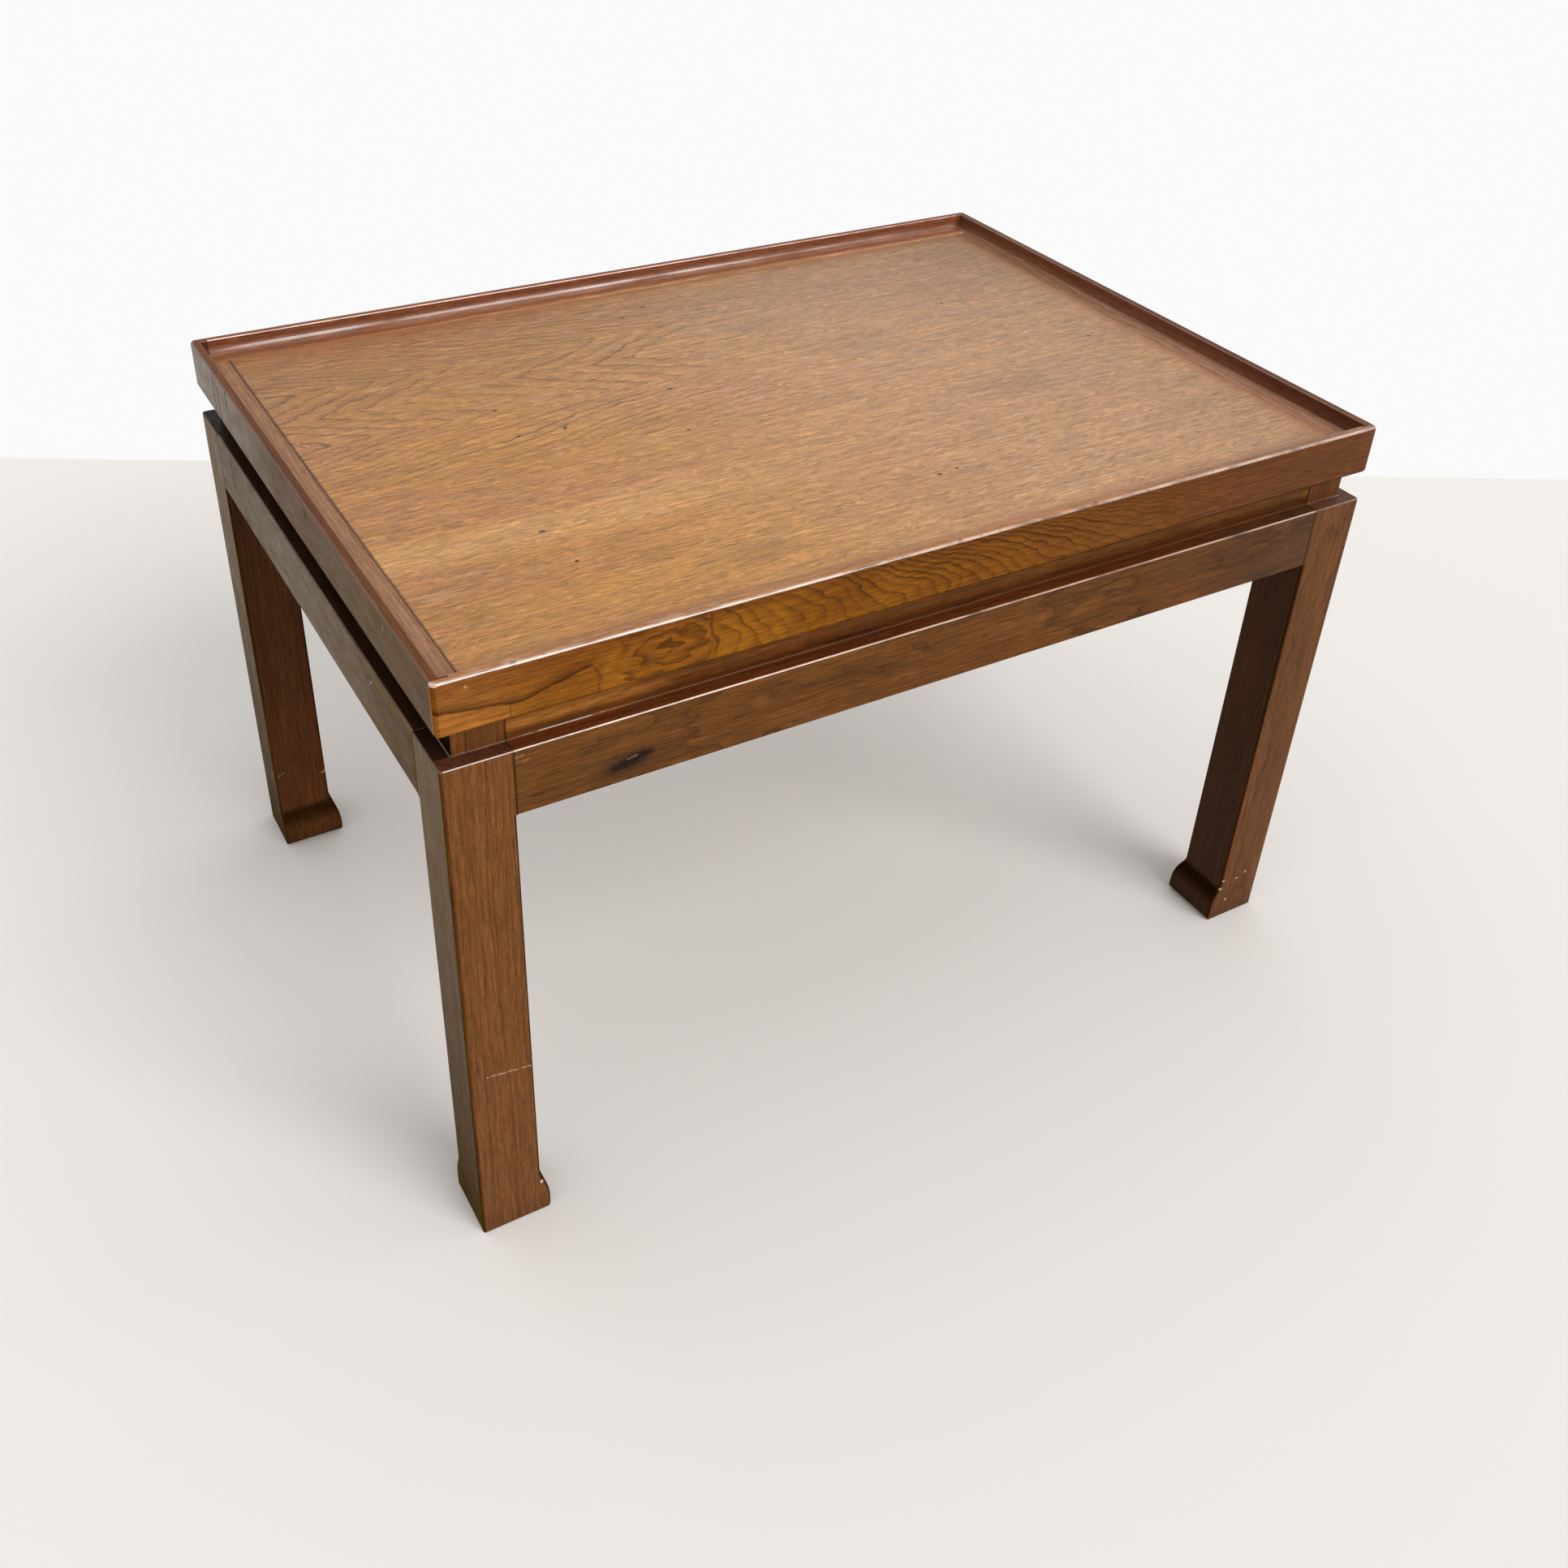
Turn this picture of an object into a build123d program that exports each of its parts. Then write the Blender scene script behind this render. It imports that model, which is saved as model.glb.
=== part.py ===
from build123d import *
from math import atan2, cos, sin
import os

# A low table with a shallow tray top, a recessed waist, and four legs on hoof feet.
# Millimetres. +X runs along the table to the right, +Y to the back and +Z up, and the
# origin is on the floor under the middle of the table.

# ---- overall size ----
LENGTH = 711.0
DEPTH = 508.0
HEIGHT = 457.0

# ---- heights of the parts, from the top down ----
TRAY_HEIGHT = 36.5
WAIST_HEIGHT = 21.5
APRON_HEIGHT = 46.0

# ---- tray: rails with a raised lip, a cove and a flat that is level with the panel ----
RAIL_WIDTH = 22.0
LIP_WIDTH = 6.5
TRAY_RECESS = 12.0
COVE_RADIUS = 7.0
LIP_INNER_ROUND = 1.0
TRAY_TOP_ROUND = 2.0
TRAY_CORNER_ROUND = 3.6
TRAY_FOOT_ROUND = 3.0
CORNER_LAP = 4.2          # long rail's face that laps over the short rail's end
HORN_WIDTH = 11.7         # outer part of the short rail that runs on to the lap
CORNER_DOWEL_RADIUS = 3.0
CORNER_DOWEL_LENGTH = 24.0
CORNER_DOWEL_INSET = 16.8
CORNER_DOWEL_RISE = 7.4

# ---- tray floor: a board with a veneer on each face ----
PANEL_THICKNESS = 13.0
VENEER_THICKNESS = 0.8
TONGUE_LENGTH = 6.0
TONGUE_THICKNESS = 5.0
GROOVE_CLEARANCE = 0.2
SIDE_REVEAL = 0.35        # hairline between the show veneer and the short rails
LONG_REVEAL = 0.1         # hairline between the show veneer and the long rails

# ---- legs ----
LEG_SIDE = 43.5
HOOF_FLARE = 6.5
HOOF_TOP = 37.5
HOOF_BULGE = 10.0
ANKLE_RADIUS = 16.0
TOE_ROUND = 5.0
HEEL_ROUND = 1.5
LEG_ROUND = 2.6
LEDGE_ROUND = 1.3

# ---- waist and aprons ----
WAIST_SETBACK = 11.0
WAIST_COVE = 1.4
POST_ROUND = 0.8
APRON_THICKNESS = 22.0
APRON_FOOT_ROUND = 1.0
SIDE_APRON_ROUND = 2.0
JOINT_EASE = 0.3          # tiny bevel on the ends of aprons and waist strips
WAIST_TONGUE = 5.0
WAIST_TONGUE_DEPTH = 4.0

# ---- dowels between the aprons and the legs ----
APRON_DOWEL_RADIUS = 4.5
APRON_DOWEL_LENGTH = 50.0
APRON_DOWEL_LOW = 12.0    # above the apron's lower edge
APRON_DOWEL_PITCH = 19.0

# ---- corner blocks and their screws ----
BLOCK_HEIGHT = 48.0
BLOCK_REACH = 100.0
BLOCK_TIP = 6.0
BLOCK_SCREW_OFFSET = 80.0
BLOCK_SCREW_DROP = 11.0   # below the apron's upper edge
BLOCK_SCREW_SEAT = 12.0   # wood between the apron and the screw's head
TRAY_SCREW_OFFSET = 54.0
TRAY_SCREW_SEAT = 28.0    # wood between the tray's floor and the screw's head
SCREW_SHANK = 2.0
SCREW_HEAD = 4.0
SCREW_CONE = 2.4
SCREW_TIP = 3.0
SCREW_SLOT_WIDTH = 1.2
SCREW_SLOT_DEPTH = 1.2
COUNTERBORE = 4.5
BLOCK_SCREW_BITE = 14.0   # depth of the screw in the apron
TRAY_SCREW_BITE = 9.0     # depth of the screw in the tray's floor

# ---- levels and half sizes worked out from these ----
HALF_LENGTH = LENGTH / 2
HALF_DEPTH = DEPTH / 2
TRAY_BASE = HEIGHT - TRAY_HEIGHT
APRON_TOP = TRAY_BASE - WAIST_HEIGHT
APRON_BASE = APRON_TOP - APRON_HEIGHT
FLOOR_TOP = HEIGHT - TRAY_RECESS
FLOOR_BASE = FLOOR_TOP - PANEL_THICKNESS
PANEL_HALF_LENGTH = HALF_LENGTH - RAIL_WIDTH
PANEL_HALF_DEPTH = HALF_DEPTH - RAIL_WIDTH
TONGUE_BASE = (FLOOR_TOP + FLOOR_BASE - TONGUE_THICKNESS) / 2
TOE = LEG_SIDE + HOOF_FLARE
GROOVE_MIDDLE = (WAIST_SETBACK + APRON_THICKNESS) / 2
ABOVE = 1.0               # how far a cutting shape runs past the face that it opens
NEAR = 0.01               # how close a point is to a face that it counts as on

CORNERS = {
    "front_left": (1, 1),
    "front_right": (-1, 1),
    "back_left": (1, -1),
    "back_right": (-1, -1),
}


def span(x, y, z):
    """A box between two values on each axis."""
    size = [abs(pair[1] - pair[0]) for pair in (x, y, z)]
    centre = [(pair[0] + pair[1]) / 2 for pair in (x, y, z)]
    return Pos(*centre) * Box(*size)


def centred(half_x, half_y, z):
    """A box about the table's vertical axis."""
    return span((-half_x, half_x), (-half_y, half_y), z)


def edges_where(shape, test):
    """The shape's edges whose two ends and middle all pass the test."""
    return [
        edge for edge in shape.edges()
        if all(test(edge.position_at(place)) for place in (0, 0.5, 1))
    ]


def upright_edges(shape):
    """The shape's edges that climb from one level to another."""
    return [
        edge for edge in shape.edges()
        if abs(edge.position_at(0).Z - edge.position_at(1).Z) > NEAR
    ]


def to_corner(shape, x_way, y_way):
    """Moves a shape drawn from the front left corner to any of the four corners."""
    placed = Pos(-HALF_LENGTH, -HALF_DEPTH, 0) * shape
    if x_way < 0:
        placed = placed.mirror(Plane.YZ)
    if y_way < 0:
        placed = placed.mirror(Plane.XZ)
    return placed


# ---------------------------------------------------------------- screws and dowels

def screw_body(bite, seat):
    """A countersunk screw, its head at the origin and its point down -Z."""
    reach = seat + bite
    outline = Polyline(
        (0, 0),
        (SCREW_HEAD, 0),
        (SCREW_SHANK, -SCREW_CONE),
        (SCREW_SHANK, SCREW_TIP - reach),
        (0, -reach),
        close=True,
    )
    return revolve(Plane.XZ * make_face(outline), Axis.Z)


def slotted(body):
    """Cuts the driver slot across a screw's head."""
    return body - span(
        (-SCREW_HEAD, SCREW_HEAD),
        (-SCREW_SLOT_WIDTH / 2, SCREW_SLOT_WIDTH / 2),
        (-SCREW_SLOT_DEPTH, ABOVE),
    )


def screw_hole(body, counterbore_depth):
    """The screw's hole, opened up behind its head."""
    bore = Pos(0, 0, counterbore_depth / 2) * Cylinder(COUNTERBORE, counterbore_depth)
    return body + bore


def block_screw_places():
    """Where the screws enter the aprons, from a front left corner."""
    level = APRON_TOP - BLOCK_SCREW_DROP
    seat = APRON_THICKNESS + BLOCK_SCREW_SEAT
    to_front = Location((BLOCK_SCREW_OFFSET, seat, level), (-90, 0, 0))
    to_side = Location((seat, BLOCK_SCREW_OFFSET, level), (0, 90, 0))
    return [to_front, to_side]


def tray_screw_place():
    """Where the screw enters the tray's floor, from a front left corner."""
    seat = FLOOR_BASE - TRAY_SCREW_SEAT
    return Location((TRAY_SCREW_OFFSET, TRAY_SCREW_OFFSET, seat), (180, 0, 0))


def corner_dowel():
    """The dowel between a short rail's end and a long rail, from a front left corner."""
    place = Location(
        (CORNER_DOWEL_INSET, RAIL_WIDTH, TRAY_BASE + CORNER_DOWEL_RISE),
        (90, 0, 0),
    )
    return place * Cylinder(CORNER_DOWEL_RADIUS, CORNER_DOWEL_LENGTH)


def leg_dowels():
    """The four dowels of one leg, from a front left corner."""
    pegs = []
    for row in range(2):
        level = APRON_BASE + APRON_DOWEL_LOW + row * APRON_DOWEL_PITCH
        across = Location((LEG_SIDE, APRON_THICKNESS / 2, level), (0, 90, 0))
        along = Location((APRON_THICKNESS / 2, LEG_SIDE, level), (90, 0, 0))
        for place in (across, along):
            pegs.append(place * Cylinder(APRON_DOWEL_RADIUS, APRON_DOWEL_LENGTH))
    return pegs


def at_every_corner(shapes):
    """The same shapes at all four corners, as one list."""
    return [to_corner(shape, *ways) for ways in CORNERS.values() for shape in shapes]


# ---------------------------------------------------------------- tray

def recess_section(plane, half_opening):
    """Section across the space inside the lip, with a cove at the foot of each wall."""
    wall = half_opening - LIP_WIDTH
    mouth = wall + LIP_INNER_ROUND
    outline = Curve() + [
        Line((-wall + COVE_RADIUS, FLOOR_TOP), (wall - COVE_RADIUS, FLOOR_TOP)),
        TangentArc(
            (wall - COVE_RADIUS, FLOOR_TOP), (wall, FLOOR_TOP + COVE_RADIUS), tangent=(1, 0)
        ),
        Line((wall, FLOOR_TOP + COVE_RADIUS), (wall, HEIGHT - LIP_INNER_ROUND)),
        TangentArc((wall, HEIGHT - LIP_INNER_ROUND), (mouth, HEIGHT), tangent=(0, 1)),
        Line((mouth, HEIGHT), (mouth, HEIGHT + ABOVE)),
        Line((mouth, HEIGHT + ABOVE), (-mouth, HEIGHT + ABOVE)),
        Line((-mouth, HEIGHT + ABOVE), (-mouth, HEIGHT)),
        TangentArc((-mouth, HEIGHT), (-wall, HEIGHT - LIP_INNER_ROUND), tangent=(1, 0)),
        Line((-wall, HEIGHT - LIP_INNER_ROUND), (-wall, FLOOR_TOP + COVE_RADIUS)),
        TangentArc(
            (-wall, FLOOR_TOP + COVE_RADIUS), (-wall + COVE_RADIUS, FLOOR_TOP), tangent=(0, -1)
        ),
    ]
    return plane * make_face(outline)


def tray_frame():
    """The whole rectangular frame of the tray, before it is parted into rails."""
    frame = centred(HALF_LENGTH, HALF_DEPTH, (TRAY_BASE, HEIGHT))
    frame = fillet(upright_edges(frame), TRAY_CORNER_ROUND)
    frame = fillet(edges_where(frame, lambda p: p.Z > HEIGHT - NEAR), TRAY_TOP_ROUND)
    frame = fillet(edges_where(frame, lambda p: p.Z < TRAY_BASE + NEAR), TRAY_FOOT_ROUND)
    along_x = extrude(recess_section(Plane.XZ, HALF_LENGTH), HALF_DEPTH, dir=(0, 1, 0), both=True)
    along_y = extrude(recess_section(Plane.YZ, HALF_DEPTH), HALF_LENGTH, dir=(1, 0, 0), both=True)
    frame -= along_x & along_y
    frame -= centred(PANEL_HALF_LENGTH, PANEL_HALF_DEPTH, (TRAY_BASE - ABOVE, HEIGHT))
    groove = TONGUE_LENGTH + GROOVE_CLEARANCE
    frame -= centred(
        PANEL_HALF_LENGTH + groove,
        PANEL_HALF_DEPTH + groove,
        (TONGUE_BASE, TONGUE_BASE + TONGUE_THICKNESS),
    )
    for dowel in at_every_corner([corner_dowel()]):
        frame -= dowel
    return frame


def short_rail_space(side):
    """The space that a short rail fills: its flat, and a horn on to each long rail's lap."""
    outer = side * (HALF_LENGTH + ABOVE)
    height = (TRAY_BASE - ABOVE, HEIGHT + ABOVE)
    flat = span(
        (outer, side * PANEL_HALF_LENGTH),
        (-PANEL_HALF_DEPTH, PANEL_HALF_DEPTH),
        height,
    )
    reach = HALF_DEPTH - CORNER_LAP
    horn = span((outer, side * (HALF_LENGTH - HORN_WIDTH)), (-reach, reach), height)
    return flat + horn


def tray_rails():
    """The four rails of the tray."""
    frame = tray_frame()
    left_space = short_rail_space(-1)
    right_space = short_rail_space(1)
    long_rails = frame - left_space - right_space
    front_half = span((-LENGTH, LENGTH), (-DEPTH, 0), (0, HEIGHT + ABOVE))
    return {
        "tray_rail_front": long_rails & front_half,
        "tray_rail_back": long_rails - front_half,
        "tray_rail_left": frame & left_space,
        "tray_rail_right": frame & right_space,
    }


def tray_floor(screws):
    """The board, with its tongue and pilot holes, and its two veneers."""
    core = centred(
        PANEL_HALF_LENGTH,
        PANEL_HALF_DEPTH,
        (FLOOR_BASE + VENEER_THICKNESS, FLOOR_TOP - VENEER_THICKNESS),
    )
    core += centred(
        PANEL_HALF_LENGTH + TONGUE_LENGTH,
        PANEL_HALF_DEPTH + TONGUE_LENGTH,
        (TONGUE_BASE, TONGUE_BASE + TONGUE_THICKNESS),
    )
    back = centred(
        PANEL_HALF_LENGTH, PANEL_HALF_DEPTH, (FLOOR_BASE, FLOOR_BASE + VENEER_THICKNESS)
    )
    for screw in screws:
        core -= screw
        back -= screw
    show = centred(
        PANEL_HALF_LENGTH - SIDE_REVEAL,
        PANEL_HALF_DEPTH - LONG_REVEAL,
        (FLOOR_TOP - VENEER_THICKNESS, FLOOR_TOP),
    )
    return {"panel_core": core, "panel_back_veneer": back, "panel_top_veneer": show}


# ---------------------------------------------------------------- legs

def hoof_side(plane):
    """Side view of a leg below the apron: straight outer edge, toe swept inward."""
    turn = 2 * atan2(HOOF_FLARE, HOOF_TOP - HOOF_BULGE)
    knee = (
        LEG_SIDE + ANKLE_RADIUS * (1 - cos(turn)),
        HOOF_TOP - ANKLE_RADIUS * sin(turn),
    )
    outline = Curve() + [
        Line((0, 0), (TOE, 0)),
        Line((TOE, 0), (TOE, HOOF_BULGE)),
        TangentArc((TOE, HOOF_BULGE), knee, tangent=(0, 1)),
        TangentArc(knee, (LEG_SIDE, HOOF_TOP), tangent=(-sin(turn), cos(turn))),
        Line((LEG_SIDE, HOOF_TOP), (LEG_SIDE, APRON_BASE)),
        Line((LEG_SIDE, APRON_BASE), (0, APRON_BASE)),
        Line((0, APRON_BASE), (0, 0)),
    ]
    return plane * make_face(outline)


def waist_side(plane, inner):
    """Side view of the waist, from its small cove at the ledge up to the tray."""
    outline = Curve() + [
        Line((inner, APRON_TOP), (inner, TRAY_BASE)),
        Line((inner, TRAY_BASE), (WAIST_SETBACK, TRAY_BASE)),
        Line((WAIST_SETBACK, TRAY_BASE), (WAIST_SETBACK, APRON_TOP + WAIST_COVE)),
        TangentArc(
            (WAIST_SETBACK, APRON_TOP + WAIST_COVE),
            (WAIST_SETBACK - WAIST_COVE, APRON_TOP),
            tangent=(0, -1),
        ),
        Line((WAIST_SETBACK - WAIST_COVE, APRON_TOP), (inner, APRON_TOP)),
    ]
    return plane * make_face(outline)


def sole_side(plane):
    """Side view of a plain block whose toe and heel are rounded at the floor."""
    outline = Curve() + [
        Line((HEEL_ROUND, 0), (TOE - TOE_ROUND, 0)),
        TangentArc((TOE - TOE_ROUND, 0), (TOE, TOE_ROUND), tangent=(1, 0)),
        Line((TOE, TOE_ROUND), (TOE, APRON_BASE)),
        Line((TOE, APRON_BASE), (0, APRON_BASE)),
        Line((0, APRON_BASE), (0, HEEL_ROUND)),
        TangentArc((0, HEEL_ROUND), (HEEL_ROUND, 0), tangent=(0, -1)),
    ]
    return plane * make_face(outline)


def both_views(side_view):
    """The solid that shows the same outline from the front and from the side."""
    front = extrude(side_view(Plane.XZ), TOE, dir=(0, 1, 0))
    return front & extrude(side_view(Plane.YZ), TOE, dir=(1, 0, 0))


def lower_leg():
    """The leg from the floor to the apron, with its hoof."""
    post = both_views(hoof_side)
    return fillet(upright_edges(post), LEG_ROUND) & both_views(sole_side)


def waist_post():
    """The top of a leg, set back to the waist, with one rounded outer arris."""
    post = extrude(waist_side(Plane.XZ, LEG_SIDE), LEG_SIDE, dir=(0, 1, 0))
    post = post & extrude(waist_side(Plane.YZ, LEG_SIDE), LEG_SIDE, dir=(1, 0, 0))
    outer_arris = edges_where(post, lambda p: max(p.X, p.Y) < WAIST_SETBACK + NEAR)
    straight = [edge for edge in outer_arris if edge.geom_type == GeomType.LINE]
    return fillet(straight, POST_ROUND)


def leg_head():
    """The leg beside the apron and through the waist, with its ledge."""
    head = span((0, LEG_SIDE), (0, LEG_SIDE), (APRON_BASE, APRON_TOP))
    outer_arris = edges_where(head, lambda p: max(p.X, p.Y) < NEAR)
    head = fillet(outer_arris, LEG_ROUND)
    ledge = edges_where(head, lambda p: p.Z > APRON_TOP - NEAR and min(p.X, p.Y) < LEG_ROUND)
    return fillet(ledge, LEDGE_ROUND) + waist_post()


def leg():
    """One leg in a single length of wood, from a front left corner."""
    whole = lower_leg() + leg_head()
    for dowel in leg_dowels():
        whole -= dowel
    return whole


# ---------------------------------------------------------------- aprons and waist

def apron(length, top_round):
    """An apron along +X, its outer face on the XZ plane, drawn about its middle."""
    half = length / 2
    rail = span((-half, half), (0, APRON_THICKNESS), (APRON_BASE, APRON_TOP))
    top = edges_where(rail, lambda p: p.Y < NEAR and p.Z > APRON_TOP - NEAR)
    rail = fillet(top, top_round)
    long_edges = rail.edges().filter_by(Axis.X)
    foot = [edge for edge in long_edges if edge.center().Z < APRON_BASE + NEAR]
    rail = fillet(foot, APRON_FOOT_ROUND)
    ends = edges_where(rail, lambda p: p.Y < top_round + NEAR and abs(p.X) > half - NEAR)
    rail = chamfer(ends, JOINT_EASE)
    rail -= span(
        (-half, half),
        (GROOVE_MIDDLE - WAIST_TONGUE / 2, GROOVE_MIDDLE + WAIST_TONGUE / 2),
        (APRON_TOP - WAIST_TONGUE_DEPTH, APRON_TOP + ABOVE),
    )
    return rail


def waist_rail(length):
    """A waist strip along +X with the tongue that stands in the apron's groove."""
    half = length / 2
    strip = extrude(waist_side(Plane.YZ, APRON_THICKNESS), half, dir=(1, 0, 0), both=True)
    ends = edges_where(
        strip, lambda p: abs(p.Y - WAIST_SETBACK) < NEAR and abs(p.X) > half - NEAR
    )
    strip = chamfer(ends, JOINT_EASE)
    strip += span(
        (-half, half),
        (GROOVE_MIDDLE - WAIST_TONGUE / 2, GROOVE_MIDDLE + WAIST_TONGUE / 2),
        (APRON_TOP - WAIST_TONGUE_DEPTH, APRON_TOP),
    )
    return strip


def side_places():
    """For each side of the table: the length between the legs, and the outer face's place."""
    long_run = LENGTH - 2 * LEG_SIDE
    short_run = DEPTH - 2 * LEG_SIDE
    return {
        "front": (long_run, Location((0, -HALF_DEPTH, 0))),
        "back": (long_run, Location((0, HALF_DEPTH, 0), (0, 0, 180))),
        "left": (short_run, Location((-HALF_LENGTH, 0, 0), (0, 0, -90))),
        "right": (short_run, Location((HALF_LENGTH, 0, 0), (0, 0, 90))),
    }


# ---------------------------------------------------------------- corner blocks

def corner_block():
    """A glue block that fills the corner behind a leg, from a front left corner."""
    edge = APRON_THICKNESS
    outline = Polyline(
        (edge, LEG_SIDE),
        (edge, BLOCK_REACH),
        (edge + BLOCK_TIP, BLOCK_REACH),
        (BLOCK_REACH, edge + BLOCK_TIP),
        (BLOCK_REACH, edge),
        (LEG_SIDE, edge),
        (LEG_SIDE, LEG_SIDE),
        close=True,
    )
    base = FLOOR_BASE - BLOCK_HEIGHT
    return extrude(Plane.XY.offset(base) * make_face(outline), BLOCK_HEIGHT)


# ---------------------------------------------------------------- the table

def table():
    """Every piece of the table by name."""
    block_screw = screw_body(BLOCK_SCREW_BITE, BLOCK_SCREW_SEAT)
    tray_screw = screw_body(TRAY_SCREW_BITE, TRAY_SCREW_SEAT)
    tray_screws = at_every_corner([tray_screw_place() * tray_screw])
    side_dowels = at_every_corner(leg_dowels())
    apron_pilots = at_every_corner([place * block_screw for place in block_screw_places()])

    block = corner_block()
    for place in block_screw_places():
        block -= place * screw_hole(block_screw, BLOCK_REACH)
    block -= tray_screw_place() * screw_hole(tray_screw, BLOCK_HEIGHT)

    pieces = dict(tray_rails())
    pieces.update(tray_floor(tray_screws))
    one_leg = leg()
    for corner, ways in CORNERS.items():
        pieces["leg_" + corner] = to_corner(one_leg, *ways)
        pieces["corner_block_" + corner] = to_corner(block, *ways)
    for side, (run, place) in side_places().items():
        top_round = LEDGE_ROUND if side in ("front", "back") else SIDE_APRON_ROUND
        rail = place * apron(run, top_round)
        for cutter in side_dowels + apron_pilots:
            rail -= cutter
        pieces["apron_" + side] = rail
        pieces["waist_rail_" + side] = place * waist_rail(run)

    pieces["tray_corner_dowels"] = Compound(children=at_every_corner([corner_dowel()]))
    pieces["apron_dowels"] = Compound(children=side_dowels)
    block_screws = [place * slotted(block_screw) for place in block_screw_places()]
    pieces["block_screws"] = Compound(children=at_every_corner(block_screws))
    tray_screw = tray_screw_place() * slotted(tray_screw)
    pieces["tray_screws"] = Compound(children=at_every_corner([tray_screw]))
    return pieces


os.makedirs("parts", exist_ok=True)
for name, shape in table().items():
    export_step(shape, "parts/" + name + ".step")
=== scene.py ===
from dataclasses import dataclass, replace
from math import cos, radians, sin

import bpy
from mathutils import Matrix, Vector


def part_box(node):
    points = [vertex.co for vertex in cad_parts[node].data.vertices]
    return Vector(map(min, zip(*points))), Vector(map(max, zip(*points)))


# A low walnut table with a tray top. Metres, in the CAD frame: +X to the right, +Y to the back.
# The CAD nodes keep their shapes; this script gives them their lacquered walnut and makes the
# floor, the backdrop, the lights and the camera. Wood is worked out in millimetres.

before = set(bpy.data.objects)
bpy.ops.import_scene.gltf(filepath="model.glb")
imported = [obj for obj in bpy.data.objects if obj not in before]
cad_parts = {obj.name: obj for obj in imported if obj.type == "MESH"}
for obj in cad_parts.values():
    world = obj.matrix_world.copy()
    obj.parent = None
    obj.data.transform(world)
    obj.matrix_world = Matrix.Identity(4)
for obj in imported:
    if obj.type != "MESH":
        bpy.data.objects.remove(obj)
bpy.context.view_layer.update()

MM = 1000.0
CORNERS = ("front_left", "front_right", "back_left", "back_right")

# ---- camera: the photograph's viewing place and lens, for a frame 1932 pixels square ----
PHOTO_SIDE = 1932
CAMERA_PLACE = Vector((-0.5682, -0.9387, 0.9501))
CAMERA_AZIMUTH = radians(-31.473)
CAMERA_ELEVATION = radians(34.160)
CAMERA_ROLL = radians(2.454)
CAMERA_FOCAL = 1996.8
LENS_CENTRE = (-21.7, -144.2)
SENSOR = 36.0


def high(node, axis):
    """The upper end of a CAD node's box on one axis, in millimetres."""
    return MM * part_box(node)[1][axis]


def low(node, axis):
    """The lower end of a CAD node's box on one axis, in millimetres."""
    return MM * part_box(node)[0][axis]


# ---- places on the table that the finishes need, in millimetres ----
HALF_LENGTH = high("tray_rail_front", 0)
HALF_DEPTH = high("tray_rail_back", 1)
TRAY_TOP = high("tray_rail_front", 2)
TRAY_BASE = low("tray_rail_front", 2)
FLOOR_TOP = high("panel_top_veneer", 2)
PANEL_X = high("panel_top_veneer", 0)
PANEL_Y = high("panel_top_veneer", 1)
APRON_TOP = high("apron_front", 2)
APRON_BASE = low("apron_front", 2)
LEG_X = high("apron_front", 0)
LEG_Y = high("apron_left", 1)
LIP = 6.5
TOP_ROUND = 4.0
HOOF_TOP = 52.0


# ------------------------------------------------------------------ shader trees

def tone(red, green, blue):
    """A linear colour from the 0 to 255 values that a picture of it would have."""
    shares = [value / 255 for value in (red, green, blue)]
    return tuple(
        share / 12.92 if share <= 0.04045 else ((share + 0.055) / 1.055) ** 2.4
        for share in shares
    ) + (1.0,)


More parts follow.
